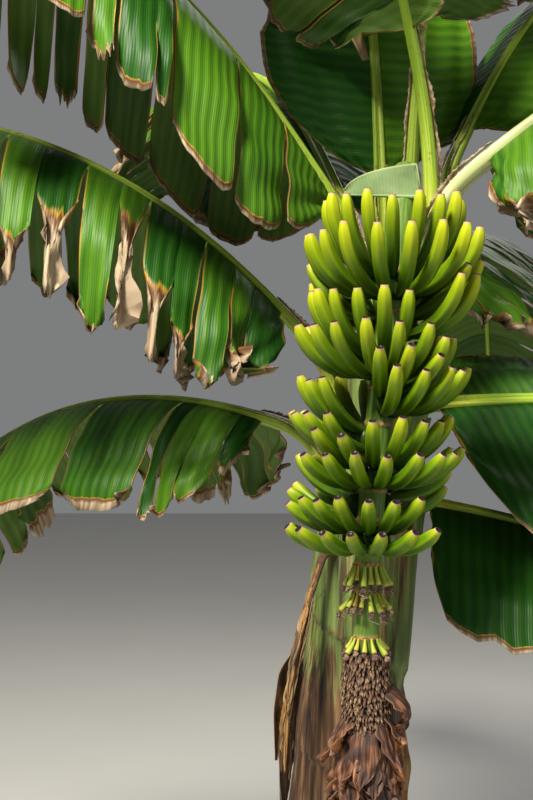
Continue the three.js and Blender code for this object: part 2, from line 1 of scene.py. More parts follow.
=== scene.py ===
import bpy
import numpy as np
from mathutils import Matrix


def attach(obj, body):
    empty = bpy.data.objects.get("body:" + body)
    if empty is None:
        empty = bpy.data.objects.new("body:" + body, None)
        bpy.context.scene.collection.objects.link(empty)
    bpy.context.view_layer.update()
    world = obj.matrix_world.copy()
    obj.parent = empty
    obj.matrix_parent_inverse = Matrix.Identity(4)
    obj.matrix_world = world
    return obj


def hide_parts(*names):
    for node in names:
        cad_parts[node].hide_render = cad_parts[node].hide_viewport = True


# A fruiting dwarf banana plant: false stem, crown of torn leaves, hanging bunch, dried flowers, bracts and
# bud. Everything is in metres, in the frame of the solids, and is one rigid body.
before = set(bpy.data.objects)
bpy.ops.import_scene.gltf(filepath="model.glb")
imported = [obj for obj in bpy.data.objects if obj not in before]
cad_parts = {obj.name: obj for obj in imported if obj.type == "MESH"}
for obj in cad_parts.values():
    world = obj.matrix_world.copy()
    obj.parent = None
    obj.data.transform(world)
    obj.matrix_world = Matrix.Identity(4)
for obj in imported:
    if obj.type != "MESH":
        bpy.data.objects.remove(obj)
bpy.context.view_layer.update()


# The camera stands a little left of the bunch, level, at the height of a grown person's eyes, and sees the
# bunch and the near halves of the leaves.
EYE = (-0.101, -2.45, 1.42)
FOCAL_ROWS = 1312.5
PICTURE_ROWS = 800
SENSOR_HEIGHT = 24.0

camera_data = bpy.data.cameras.new("camera")
camera_data.sensor_fit = "VERTICAL"
camera_data.sensor_height = SENSOR_HEIGHT
camera_data.lens = SENSOR_HEIGHT * FOCAL_ROWS / PICTURE_ROWS
camera = bpy.data.objects.new("camera", camera_data)
camera.location = EYE
camera.rotation_euler = (np.pi / 2, 0.0, 0.0)
bpy.context.scene.collection.objects.link(camera)
bpy.context.scene.camera = camera


# The false stem is a roll of fleshy leaf sheaths, each wrapped over the next younger one, and stands on the
# ground. Their free edges run up it as low ridges with thin brown rims, and old sheaths end in ledges that
# climb round it.
STEM_HEIGHT = 1.690
BASE_RADIUS = 0.122
TOP_RADIUS = 0.066
FLARE = 0.030
FLARE_HEIGHT = 0.095
LEDGE = 0.005
LEDGE_PITCH = 0.230
STEM_LEAN = np.array([0.142, -0.070])
LEAN_POWER = 1.4
TOP_CLOSES = 0.86
TOP_ROUNDS = 0.03
SHEATH_EDGES = 13
SHEATH_STEP = 0.0045
EDGE_WIDTH = 0.035
SWELLS = (0.0012, 0.0015)
FOOT_FADES = (0.1, 1.6)
STEM_RINGS = 220
STEM_SIDES = 128
UP = np.array([0.0, 0.0, 1.0])
EAST = np.array([1.0, 0.0, 0.0])
NORTH = np.array([0.0, 1.0, 0.0])


def mix(a, b, t):
    """A value between a and b, a share t of the way."""
    return a + (b - a) * t


def smooth(t):
    """An ease from 0 to 1 that starts and ends level: three squares less two cubes of t."""
    t = np.clip(t, 0, 1)
    return t * t * (3 - 2 * t)


def chance(seed):
    """A repeatable number from 0 to 1 for each seed: what a large multiple of its sine leaves over."""
    wave = np.sin(np.asarray(seed, float) * 12.9898 + 4.1414) * 43758.5453
    return wave - np.floor(wave)


def unit(vectors):
    """Vectors brought to a length of one."""
    return vectors / np.maximum(np.linalg.norm(vectors, axis=-1, keepdims=True), 1e-12)


def direction(heading, slope=0.0):
    """The direction at a heading round the vertical and a slope above the level, both in radians."""
    heading, slope = np.broadcast_arrays(heading, slope)
    return np.stack([np.cos(heading) * np.cos(slope), np.sin(heading) * np.cos(slope), np.sin(slope)], -1)


def circle(sides):
    """The angles of the points round a ring."""
    return np.linspace(0, 2 * np.pi, sides, endpoint=False)


def normals(points):
    """The normals of grids of points: along the rows crossed with along the columns."""
    return unit(np.cross(np.gradient(points, axis=1), np.gradient(points, axis=2)))


def pair(u, v):
    """Two values side by side, as the two numbers of a map."""
    return np.stack(np.broadcast_arrays(u, v), -1)


def grid_quads(rows, columns):
    """Quads of a grid of points, each turned so that its normal is rows crossed with columns."""
    row, column = np.meshgrid(np.arange(rows - 1), np.arange(columns - 1), indexing="ij")
    corner = (row * columns + column).ravel()
    return np.stack([corner, corner + columns, corner + columns + 1, corner + 1], -1)


def tube_part(middle, across, over, wide, deep, marks=None, uv=None):
    """Closed tubes: each point is its ring's middle plus across times wide plus over times deep.

    middle, across and over hold one vector for each tube and ring, wide and deep one number for each tube,
    ring and side. A point in the middle of either end closes it. Marks and uv follow the points."""
    count, rings, sides = wide.shape

    def with_ends(values):
        """The values of all rings, then the mean of the first ring and of the last."""
        values = np.broadcast_to(values, (count, rings, sides) + np.shape(values)[3:])
        ends = values[:, [0, -1]].mean(2)
        flat = values.reshape((count, rings * sides) + values.shape[3:])
        return np.concatenate([flat, ends], 1).reshape((-1,) + values.shape[3:])

    points = middle[:, :, None] + across[:, :, None] * wide[..., None] + over[:, :, None] * deep[..., None]
    ring, side = np.meshgrid(np.arange(rings - 1), np.arange(sides), indexing="ij")
    here = (ring * sides + side).ravel()
    beside = (ring * sides + (side + 1) % sides).ravel()
    quads = np.stack([here, beside, beside + sides, here + sides], -1)
    rim = np.arange(sides)
    turned = (rim + 1) % sides
    top = (rings - 1) * sides
    start = np.stack([turned, rim, np.full(sides, rings * sides)], -1)
    end = np.stack([rim + top, turned + top, np.full(sides, rings * sides + 1)], -1)
    shift = np.arange(count)[:, None, None] * (rings * sides + 2)
    return {
        "points": with_ends(points),
        "faces": [(quads + shift).reshape(-1, 4), (np.concatenate([start, end]) + shift).reshape(-1, 3)],
        "marks": {name: with_ends(value) for name, value in (marks or {}).items()},
        "uv": with_ends(np.zeros((1, 1, 1, 2)) if uv is None else uv),
    }


def rod_part(middle, across, over, radius, marks=None, uv=None, flat=(1, 1)):
    """Closed tubes, or a single one: a radius for each ring and side, laid out along across and over round
    the rings' middles, and flattened by a factor for either."""
    if radius.ndim == 2:
        middle, radius, uv = middle[None], radius[None], None if uv is None else uv[None]
    angle = circle(radius.shape[-1])
    across, over = (np.broadcast_to(vector, middle.shape) for vector in (across, over))
    wide, deep = radius * flat[0] * np.cos(angle), radius * flat[1] * np.sin(angle)
    return tube_part(middle, across, over, wide, deep, marks, uv)


def sheet_part(points, thickness, turned=0.0, marks=None, uv=None):
    """Thin closed sheets: each grid of points is moved half the thickness up and down its normals, and a rim
    of quads joins the two layers. The mark named under is 1 on the lower layer, or on the upper one where
    turned."""
    count, rows, columns = points.shape[:3]
    lift = normals(points) * thickness / 2
    layer = rows * columns
    upper = grid_quads(rows, columns)
    lower = upper[:, ::-1] + layer
    around = np.concatenate([
        np.arange(columns - 1),
        columns - 1 + columns * np.arange(rows - 1),
        layer - 1 - np.arange(columns - 1),
        columns * (rows - 1 - np.arange(rows - 1)),
    ])
    after = np.roll(around, -1)
    rim = np.stack([around, after, after + layer, around + layer], -1)
    shift = np.arange(count)[:, None, None] * (2 * layer)

    def both(values):
        """The values of each grid twice, for its upper and its lower layer."""
        values = np.broadcast_to(values, (count, rows, columns) + np.shape(values)[3:])
        return np.stack([values, values], 1).reshape((-1,) + values.shape[3:])

    turned = np.broadcast_to(turned, (count, rows, columns))
    made = {name: both(value) for name, value in (marks or {}).items()}
    made["under"] = np.stack([turned, 1 - turned], 1).ravel()
    return {
        "points": np.stack([points + lift, points - lift], 1).reshape(-1, 3),
        "faces": [(np.concatenate([upper, lower, rim]) + shift).reshape(-1, 4)],
        "marks": made,
        "uv": both(np.zeros((1, 1, 1, 2)) if uv is None else uv),
    }


def joined(parts):
    """Several parts as one: their points in a row, and their faces moved on by the points before them."""
    starts = np.cumsum([0] + [len(part["points"]) for part in parts[:-1]])
    names = {name for part in parts for name in part["marks"]}
    marks = {}
    for name in sorted(names):
        values = [part["marks"].get(name, np.zeros(len(part["points"]))) for part in parts]
        marks[name] = np.concatenate(values)
    return {
        "points": np.concatenate([part["points"] for part in parts]),
        "faces": [faces + start for part, start in zip(parts, starts) for faces in part["faces"]],
        "marks": marks,
        "uv": np.concatenate([part["uv"] for part in parts]),
    }


def piece(name, part, finish, slot, *nodes):
    """Puts a part's arrays into a smooth mesh object on the plant, in place of the plain solids named."""
    mesh = bpy.data.meshes.new(name)
    corners = np.concatenate([faces.ravel() for faces in part["faces"]])
    sizes = np.concatenate([np.full(len(faces), faces.shape[1]) for faces in part["faces"]])
    mesh.vertices.add(len(part["points"]))
    mesh.vertices.foreach_set("co", part["points"].astype(np.float32).ravel())
    mesh.loops.add(len(corners))
    mesh.loops.foreach_set("vertex_index", corners.astype(np.int32))
    mesh.polygons.add(len(sizes))
    mesh.polygons.foreach_set("loop_start", (np.cumsum(sizes) - sizes).astype(np.int32))
    mesh.update(calc_edges=True)
    mesh.polygons.foreach_set("use_smooth", np.ones(len(sizes), bool))
    layer = mesh.uv_layers.new(name="UVMap")
    layer.data.foreach_set("uv", part["uv"][corners].astype(np.float32).ravel())
    for mark, values in part["marks"].items():
        mesh.attributes.new(mark, "FLOAT", "POINT").data.foreach_set("value", values.astype(np.float32))
    mesh.materials.append(finish)
    made = bpy.data.objects.new(name, mesh)
    bpy.context.scene.collection.objects.link(made)
    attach(made, "root")
    if nodes:
        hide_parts(*nodes)
    return made


class Finish:
    """A node material: make adds a node and wires what it is given, and the rest are short ways to common
    nodes."""

    def __init__(self, name, roughness, gloss=0.3):
        """A material of one roughness and gloss, and the coordinates for its patterns."""
        self.material = bpy.data.materials.new(name)
        self.material.use_nodes = True
        self.tree = self.material.node_tree
        self.shader = self.tree.nodes["Principled BSDF"]
        self.shader.inputs["Roughness"].default_value = roughness
        self.shader.inputs["Specular IOR Level"].default_value = gloss
        self.place = self.make("ShaderNodeTexCoord").outputs

    def wire(self, socket, value):
        """Links a socket to another node's output, or sets it to a plain value."""
        if isinstance(value, bpy.types.NodeSocket):
            self.tree.links.new(value, socket)
        else:
            socket.default_value = value

    def make(self, kind, inputs=None, **settings):
        """One node with its settings and inputs, which are named or numbered."""
        node = self.tree.nodes.new(kind)
        for key, value in settings.items():
            setattr(node, key, value)
        for key, value in (inputs or {}).items():
            self.wire(node.inputs[key], value)
        return node

    def noise(self, scale, where=None, detail=3.0):
        """Cloudy noise from 0 to 1."""
        inputs = {"Vector": where or self.place["Object"], "Scale": scale, "Detail": detail}
        return self.make("ShaderNodeTexNoise", inputs).outputs[0]

    def drawn(self, scale, detail, source="Object"):
        """Noise drawn out into streaks, on a coordinate that is multiplied unevenly along its axes."""
        where = self.make("ShaderNodeMapping", {"Vector": self.place[source], "Scale": scale}).outputs[0]
        return self.noise(1.0, where, detail)

    def bands(self, scale, distortion, swirl=1.0):
        """Even bands across the map's first axis, from 0 to 1, bent a little."""
        inputs = {"Vector": self.place["UV"], "Scale": scale, "Distortion": distortion, "Detail": 2.0,
                  "Detail Scale": swirl}
        return self.make("ShaderNodeTexWave", inputs, bands_direction="X").outputs["Fac"]

    def mark(self, name, factor=None):
        """A value that the mesh carries at its points, multiplied where a factor is given."""
        value = self.make("ShaderNodeAttribute", attribute_name=name).outputs["Fac"]
        return value if factor is None else self.times(value, factor)

    def reckon(self, operation, a, b):
        """Two values put together by an operation, and what comes out kept from 0 to 1."""
        return self.make("ShaderNodeMath", {0: a, 1: b}, operation=operation, use_clamp=True).outputs[0]

    def plus(self, a, b):
        """Two values added up, and not above 1."""
        return self.reckon("ADD", a, b)

    def less(self, a, b):
        """A value less another, and not below 0."""
        return self.reckon("SUBTRACT", a, b)

    def times(self, a, b):
        """Two values multiplied, and not above 1."""
        return self.reckon("MULTIPLY", a, b)

    def past(self, value, start, steep):
        """A share that leaves 0 where a value passes its start, and climbs by so much for each unit."""
        return self.times(self.less(value, start), steep)

    def spots(self, value, start, end):
        """A share that climbs evenly from 0 to 1 between two levels of a value."""
        return self.ramp(value, [(start, (0, 0, 0)), (end, (1, 1, 1))])

    def ramp(self, value, stops):
        """Colours at stops along a value, blended between."""
        node = self.make("ShaderNodeValToRGB", {0: value})
        elements = node.color_ramp.elements
        for position, colour in stops[2:]:
            elements.new(position)
        for element, (position, colour) in zip(elements, stops):
            element.position = position
            element.color = (*colour, 1.0)
        return node.outputs[0]

    def blend(self, share, a, b, how="MIX"):
        """Colour a turned to b by a share."""
        node = self.make("ShaderNodeMix", data_type="RGBA", blend_type=how)
        for socket, value in zip((node.inputs[0], node.inputs[6], node.inputs[7]), (share, a, b)):
            self.wire(socket, (*value, 1.0) if isinstance(value, tuple) else value)
        return node.outputs[2]

    def relief(self, height, strength, distance, under=None):
        """A bump from a height pattern, laid over another bump where one is given."""
        inputs = {"Height": height, "Strength": strength, "Distance": distance}
        if under is not None:
            inputs["Normal"] = under
        return self.make("ShaderNodeBump", inputs).outputs[0]

    def done(self, colour, bump=None, glow=0.0):
        """Wires colour and bump to the shader, and mixes in a share of light that shines through."""
        self.wire(self.shader.inputs["Base Color"], colour)
        if bump is not None:
            self.wire(self.shader.inputs["Normal"], bump)
        if glow:
            through = self.make("ShaderNodeBsdfTranslucent", {"Color": colour})
            inputs = {0: glow, 1: self.shader.outputs[0], 2: through.outputs[0]}
            both = self.make("ShaderNodeMixShader", inputs)
            self.wire(self.tree.nodes["Material Output"].inputs["Surface"], both.outputs[0])
        return self.material


def stem_middle(z):
    """The stem's middle at a height: it leans by a power of its share of the height."""
    lean = np.clip(z / STEM_HEIGHT, 0, 1) ** LEAN_POWER
    return np.concatenate([lean[..., None] * STEM_LEAN, z[..., None]], -1)


def stem_radius(z):
    """The stem's radius at a height: a taper, and a flare that fades upward from the foot."""
    taper = mix(BASE_RADIUS, TOP_RADIUS, np.clip(z / STEM_HEIGHT, 0, 1) ** 0.8)
    return taper + FLARE * np.exp(-z / FLARE_HEIGHT)


def sheath_relief(z, angle):
    """How far the skin stands out, and how near it is to a sheath's edge.

    A ledge climbs round as a sawtooth of height and angle. Each free edge is a line that leans as it climbs,
    with a step up to it on one side that fades away round the stem; where edges cross, the higher one
    shows."""
    turn = z / LEDGE_PITCH + angle / (2 * np.pi)
    saw = 1 - (turn - np.floor(turn))
    height = LEDGE * saw
    rim = smooth((saw - 0.93) / 0.07)
    step = np.zeros_like(height)
    for i in range(SHEATH_EDGES):
        lean = mix(-0.9, 0.9, chance(700 + i))
        bottom = mix(-0.6, 1.1, i / SHEATH_EDGES)
        away = (angle - 2.4 * i - lean * z) % (2 * np.pi)
        shown = smooth((z - bottom) / 0.12) * smooth((bottom + 1.1 - z) / 0.12)
        step = np.maximum(step, shown * SHEATH_STEP * np.exp(-away / 0.5))
        rim = np.maximum(rim, shown * np.exp(-away / EDGE_WIDTH))
    return height + step, rim


def stem_part():
    """Rings up the stem: the radius with its taper and flare, plus the relief of the sheaths."""
    z = np.linspace(0, STEM_HEIGHT, STEM_RINGS)[:, None]
    angle = circle(STEM_SIDES)[None, :]
    relief, rim = sheath_relief(z, angle)
    swell = SWELLS[0] * np.sin(9 * angle + 3 * z) + SWELLS[1] * np.sin(4 * angle - 2.2 * z + 1)
    close = mix(1, TOP_CLOSES, smooth((z - STEM_HEIGHT + TOP_ROUNDS) / TOP_ROUNDS))
    radius = (stem_radius(z) + swell) * close + relief
    marks = {"rim": rim, "foot": 1 - smooth((z - FOOT_FADES[0]) / (FOOT_FADES[1] - FOOT_FADES[0]))}
    return rod_part(stem_middle(z[:, 0]), EAST, NORTH, radius, marks)


def stem_finish():
    """Dull green streaked up the stem, under dry brown patches that grow downwards and along the sheaths'
    edges; both are darkened partly as painted shade."""
    f = Finish("stem_sheath", 0.6)
    streaks = f.drawn((70, 70, 3), 5.0)
    fibres = f.drawn((230, 230, 6), 3.0)
    patches = f.drawn((13, 13, 2.5), 4.0)
    # Both ramps are kept dark partly as painted shade, over the stem's own green and dry brown.
    green = f.ramp(streaks, [(0.3, (0.045, 0.070, 0.018)), (0.52, (0.105, 0.150, 0.035)),
                             (0.72, (0.220, 0.260, 0.085))])
    brown = f.ramp(streaks, [(0.36, (0.010, 0.005, 0.003)), (0.52, (0.055, 0.026, 0.012)),
                             (0.68, (0.190, 0.105, 0.048))])
    brown = f.blend(f.past(fibres, 0.56, 1.6), brown, (0.24, 0.14, 0.07))
    dry = f.times(f.plus(patches, f.mark("foot", 0.40)), 0.7)
    dry = f.less(f.plus(dry, f.times(fibres, 0.3)), 0.56)
    share = f.reckon("MAXIMUM", f.times(dry, 18.0), f.mark("rim", 0.9))
    bump = f.relief(fibres, 0.3, 0.002, f.relief(streaks, 0.5, 0.003))
    return f.done(f.blend(share, green, brown), bump)


piece("stem_sheaths", stem_part(), stem_finish(), "stem", "false_stem")


# The leaves climb round the stem's top. Each has a stout channelled stalk that runs on as the midrib, and a
# thin blade that the wind has torn along its side veins into strips; their margins are dry and brown.
RIB_STEPS = 240
FOOT_SIZE = (0.025, 0.014)
STALK_SIZE = (0.017, 0.015)
RIB_END = 0.0055
FULL_WIDTH = 0.25
ROOT_SINK = 0.008
ROOT_RISE = 80
BLADE_THICKNESS = 0.0016
BLADE_FOLD = -10
BLADE_SWEEP = 0.2
BLADE_SWEEP_HANG = 70
DROOP_POWER = 0.45
DROOP_STEPS = 12
PLUMB = 0.88
PLUMB_STEEP = 1.8
TEAR_JITTER = 0.5
TEAR_ROOT = 0.0012
TEAR_EDGE = 0.007
FINE_TEAR = 0.009
STRIP_ROWS = np.array([0, 0.02, 0.07, 0.14, 0.22, 0.31, 0.4, 0.5, 0.6, 0.69, 0.78, 0.86, 0.93, 0.98, 1])
STRIP_COLUMNS = 21
STRIP_TWIST = 58
PLEAT = 0.030
PLEAT_HEIGHT = 0.0011
WAVES = (0.006, 0.004)
CRUMPLES = (0.009, 0.003)
RIM_WIDTH = 0.002
TONE_SPREAD = 1.9
MARGIN_HEIGHT = 0.011
MARGIN_START = 0.01
MARGIN_ROWS = 80
MARGIN_COLUMNS = 5
MARGIN_WAVE = 0.003
PAPER = 0.0012
RIB_RINGS = 90
RIB_SIDES = 20
STALK_TINGE = 0.22
BRIGHT_RIB = (0.46, 0.54, 0.09)

# For each leaf, as in the solids: height of its root, heading, slopes, length, bare stalk, half width, hang,
# pitch of its tears and how many a strip spans, and what sets it apart from the rest. Then, for the finer
# blade alone, into how many strips each is cut at most and from where on, how far in the dry edge reaches,
# how light the blade is, which partly paints sunlight and shade on the whole leaf, and how pale the rib.
LEAVES = [
    dict(root=1.205, heading=352, rise=-10, tip=-56, length=1.18, stalk=0.055, width=0.30, hang=56,
         strip=0.18, span=2, roll=10, shoulder=0.05, cuts=1, dry=0.02, tone=0.05),
    dict(root=1.215, heading=146, rise=14, tip=-64, length=1.30, stalk=0.25, width=0.32, hang=70, strip=0.23,
         swing=14, cuts=4, dry=0.10, tone=0.65),
    dict(root=1.372, heading=12, rise=4, tip=-36, length=1.34, stalk=0.065, width=0.33, hang=26, strip=0.18,
         span=2, roll=30, swing=-6, shoulder=0.06, cuts=1, dry=0.015, tone=0.1),
    dict(root=1.365, heading=178, rise=46, tip=-32, length=1.50, stalk=0.25, width=0.37, hang=84, strip=0.15,
         swing=6, cuts=3, dry=0.42, tone=0.3),
    dict(root=1.440, heading=66, rise=32, tip=-60, length=1.46, stalk=0.26, width=0.34, hang=60, strip=0.24,
         swing=12, cuts=4, dry=0.12, tone=0.3),
    dict(root=1.645, heading=346, side=305, rise=38, tip=-40, length=1.50, stalk=0.24, width=0.35, hang=76,
         strip=0.185, swing=6, stout=1.35, cuts=3, dry=0.26, tone=0.9, pale=0.75),
    dict(root=1.635, heading=190, rise=56, tip=-34, length=1.64, stalk=0.16, width=0.405, hang=84,
         strip=0.165, late=1.7, shoulder=0.26, power=0.9, cuts=3, whole=0.31, dry=0.022, tone=0.5),
    dict(root=1.590, heading=116, side=150, rise=50, tip=-48, length=1.56, stalk=0.26, width=0.34, hang=60,
         strip=0.24, swing=-10, stout=0.85, cuts=4, dry=0.08, tone=0.3),
    dict(root=1.660, heading=332, side=66, start=89, rise=84, tip=-22, length=1.62, stalk=0.47, width=0.31,
         hang=46, strip=0.24, swing=8, stout=0.72, cuts=4, dry=0.06, tone=0.5),
    dict(root=1.655, heading=222, side=351, start=92, rise=74, tip=-26, length=1.68, stalk=0.43, width=0.31,
         hang=46, strip=0.24, swing=-18, stout=0.7, cuts=4, dry=0.06, tone=0.5),
    dict(root=1.655, heading=30, side=27, rise=60, tip=-8, length=1.48, stalk=0.29, width=0.28, hang=36,
         strip=0.155, span=2, stout=0.8, cuts=2, dry=0.04, tone=0.2),
    dict(root=1.665, heading=104, side=111, rise=84, tip=46, length=1.26, stalk=0.18, width=0.225, hang=12,
         strip=0.18, span=2, stout=0.8, cuts=1, dry=0.03, tone=0.3),
]


def lay_rib(leaf, seed):
    """The midrib's curve and the knots where the blade is torn.

    The slope eases from the stalk's to the leaf's and then, by a power of the way along the blade, to the
    tip's. The heading swings evenly. The points are the sum of the directions in short steps. The knots are
    even along the blade, each shifted a little by chance."""
    blade_length = leaf["length"] - leaf["stalk"]
    strips = max(2, int(np.floor(blade_length / leaf["strip"] + 0.5)))
    order = np.arange(1, strips + 1)
    shift = np.where(order < strips, TEAR_JITTER * (chance(seed + order) - 0.5), 0)
    torn = mix(leaf["stalk"], leaf["length"], (order + shift) / strips)
    leaf["knots"] = np.concatenate([[0, leaf["stalk"] / 2, leaf["stalk"]], torn])
    along = np.linspace(0, leaf["length"], RIB_STEPS + 1)
    blade = np.clip((along - leaf["stalk"]) / blade_length, 0, 1)
    eased = mix(leaf.get("start", ROOT_RISE), leaf["rise"], smooth(along / leaf["stalk"]))
    slope = np.radians(mix(eased, leaf["tip"], blade ** leaf.get("late", 1.3)))
    heading = np.radians(leaf["heading"] + leaf.get("swing", 0) * along / leaf["length"])
    forward = direction(heading, slope)
    if "foot" in leaf:
        root = np.array(leaf["foot"])
    else:
        outward = np.radians(leaf.get("side", leaf["heading"]))
        reach = stem_radius(np.array(leaf["root"])) - ROOT_SINK
        root = stem_middle(np.array(leaf["root"])) + reach * direction(outward)
    steps = forward[:-1] * leaf["length"] / RIB_STEPS
    leaf["curve"] = root + np.concatenate([np.zeros((1, 3)), np.cumsum(steps, 0)])
    leaf["along"], leaf["slope"], leaf["turn"] = along, slope, heading
    return leaf


def rib_frame(leaf, along):
    """The rib's place at a distance along it, with the directions forward, sideways and up from the upper
    face. Sideways is level, then rolled about forward by as much as the leaf leans over."""
    def between(values):
        """A value kept along the rib, read at the distances asked for."""
        return np.interp(along, leaf["along"], values)

    place = np.stack([between(leaf["curve"][:, axis]) for axis in range(3)], -1)
    slope, heading = between(leaf["slope"]), between(leaf["turn"])
    forward = direction(heading, slope)
    level = direction(heading + np.pi / 2)
    roll = (np.radians(leaf.get("roll", 0)) * smooth(along / leaf["stalk"]))[..., None]
    side = level * np.cos(roll) + np.cross(forward, level) * np.sin(roll)
    return place, forward, side, np.cross(forward, side)


def rib_size(leaf, along):
    """Half the width and depth of stalk and rib: broad at the sheath, then thinning to the tip."""
    stalk = smooth(along / leaf["stalk"])
    blade = np.clip((along - leaf["stalk"]) / (leaf["length"] - leaf["stalk"]), 0, 1) ** 0.8
    scale = min(1, leaf["width"] / FULL_WIDTH)
    stout = leaf.get("stout", 1)
    wide = mix(mix(FOOT_SIZE[0] * min(1, stout), STALK_SIZE[0] * stout, stalk), RIB_END, blade) * scale
    deep = mix(mix(FOOT_SIZE[1], STALK_SIZE[1] * stout, stalk), RIB_END, blade) * scale
    return wide, deep


def blade_width(leaf, along):
    """Half the blade's width along the rib: a round shoulder at the stalk and a round end at the tip."""
    q = np.clip((along - leaf["stalk"]) / (leaf["length"] - leaf["stalk"]), 0, 1)
    narrows = leaf.get("narrows", 0.72)
    start = (1 - (1 - np.minimum(1, q / leaf.get("shoulder", 0.2))) ** 2) ** leaf.get("power", 0.5)
    end = np.sqrt(np.maximum(0, 1 - np.maximum(0, (q - narrows) / (1 - narrows)) ** 2))
    return leaf["width"] * np.maximum(0.16, start * end)


def blade_points(leaf, along, v, hand, hang):
    """Points of torn strips at a share v of the way from rib to edge.

    A strip leaves the rib in a shallow V and turns down towards its hang, by a power of v. Its direction lies
    between sideways and a down that is nearly plumb, and the place is the sum of it in short steps. A level
    strip also leans on towards the tip, by the square of v."""
    place, forward, side, up = rib_frame(leaf, along)
    width = blade_width(leaf, along)
    plumb = PLUMB * np.minimum(1, PLUMB_STEEP * np.hypot(forward[..., 0], forward[..., 1]))[..., None]
    down = unit(up * (plumb - 1) - UP * plumb)
    place = place - up * rib_size(leaf, along)[1][..., None] * 0.2
    for i in range(DROOP_STEPS):
        here = np.minimum(1, v * (i + 0.5) / DROOP_STEPS)
        slope = np.radians(mix(BLADE_FOLD, hang, here ** DROOP_POWER))[..., None]
        out = side * hand[..., None] * np.cos(slope) + down * np.sin(slope)
        place = place + out * (width * v / DROOP_STEPS)[..., None]
    sweep = width * BLADE_SWEEP * np.maximum(0, 1 - hang / BLADE_SWEEP_HANG) * v * v
    return place + forward * sweep[..., None]


def leaf_strips(leaf, seed):
    """The strips of both halves: where each starts and ends on the rib, its side and hang, and how far from
    the rib each of its two edges is torn. By chance a strip of the solids makes up to a few finer ones of
    uneven width, parted only towards the edge."""
    rows = []
    span = leaf.get("span", 1)
    knots = leaf["knots"]
    for hand in (-1, 1):
        for knot in range(2, len(knots) - 1, span):
            last = min(len(knots) - 1, knot + span)
            hang = leaf["hang"] * mix(0.86, 1.12, chance(seed + 40 * hand + knot))
            dice = chance(seed * 3.1 + 50 * hand + knot * 7 + np.arange(5 * (leaf["cuts"] + 1)) * 1.7)
            cuts = min(leaf["cuts"], 1 + int(leaf["cuts"] * (0.15 + dice[0])))
            if knots[knot] < leaf["length"] * leaf.get("whole", 0):
                cuts = 1
            parts = np.arange(1, cuts) / cuts + 0.7 * (dice[1:cuts] - 0.5) / cuts
            ends = mix(knots[knot], knots[last], np.concatenate([[0], parts, [1]]))
            torn = np.concatenate([[0], 0.08 + 0.7 * dice[cuts + 1:2 * cuts], [0]])
            for i in range(cuts):
                give = hang * (1 + 0.12 * (dice[2 * cuts + i] - 0.5) * (cuts > 1))
                rows.append((ends[i], ends[i + 1], hand, give, torn[i], torn[i + 1], dice[3 * cuts + i]))
    return np.array(rows).T


def leaf_blade(leaf, seed):
    """All strips of a leaf's blade as thin sheets.

    Along a strip runs s and out from the rib runs v. The tears open from where they start to the edge. Each
    strip is folded a little along its middle, pleated and waved by sines, turned on its own axis by the
    square of v, and frayed at its end, and where it is dry it shrinks and crumples."""
    columns = (row[:, None, None] for row in leaf_strips(leaf, seed))
    start, stop, hand, hang, torn_start, torn_stop, luck = columns
    s = STRIP_ROWS[None, :, None]
    v = np.linspace(0, 1, STRIP_COLUMNS)[None, None, :] ** 0.85
    fray = chance(seed + 13 * s + 91 * luck)
    parched = chance(luck * 77)
    reach = 1 - 0.014 * fray - 0.07 * fray * (parched > 0.7) - 0.06 * np.abs(2 * s - 1) ** 5 - 0.05 * luck
    dry_reach = np.maximum(0.008, leaf["dry"] * 1.8 * parched ** 1.4)
    dry = smooth((v - 1 + dry_reach) / (0.6 * dry_reach) + 0.1 * fray) * smooth((v - 0.25) * 8)
    v = v * reach
    gap_start, gap_stop = (
        np.where(torn > 0, FINE_TEAR * np.maximum(0, v - torn), TEAR_ROOT + TEAR_EDGE * v)
        for torn in (torn_start, torn_stop))
    long = stop - start
    loose = smooth((0.14 - long) / 0.08)
    twist = np.radians(STRIP_TWIST) * loose * (2 * luck - 1) * v ** 2
    curl = dry * smooth(leaf["dry"] / 0.25)
    shrunk = 0.5 + (s - 0.5) * np.cos(twist) * (1 - 0.78 * curl)
    along = start + gap_start + shrunk * (long - gap_start - gap_stop)
    points = blade_points(leaf, along, v, hand, hang)
    normal = normals(points) * hand[..., None]
    fold = -0.10 * long * (2 * s - 1) ** 2 * v * (mix(0.2, 1.6, luck) * (0.3 + 0.7 * loose) + 1.5 * curl)
    turn = (s - 0.5) * long * np.sin(twist)
    pleat = PLEAT_HEIGHT * smooth(4 * v) * luck * np.sin(2 * np.pi * (along / PLEAT + 0.3 * v + luck))
    wave = WAVES[0] * v * np.sin(9 * v + 30 * luck + 2.5 * s)
    wave = wave + WAVES[1] * v * np.sin(21 * v + 50 * luck - 3 * s)
    crumple = CRUMPLES[0] * np.sin(3 * s + 13 * v + 40 * luck)
    crumple = curl * (crumple + CRUMPLES[1] * np.sin(9 * s + 37 * v + 9 * luck))
    points = points + normal * (fold + turn + pleat + wave + crumple)[..., None]
    edge = np.minimum(np.where(torn_start <= v, s, 1), np.where(torn_stop <= v, 1 - s, 1)) * long
    rim = np.exp(-edge / RIM_WIDTH) * smooth(v * 3)
    uv = pair(along, v * blade_width(leaf, along))
    # Each strip's tone: random colour, and also painted sunlight on pale strips and painted shade on deep
    # ones.
    tone = leaf["tone"] + TONE_SPREAD * (chance(luck * 31) - 0.5) * (0.35 + leaf["tone"])
    marks = {"dry": np.maximum(dry, 0.36 * rim), "tone": np.maximum(0, tone)}
    return sheet_part(points, BLADE_THICKNESS, (hand < 0) * 1.0, marks, uv)


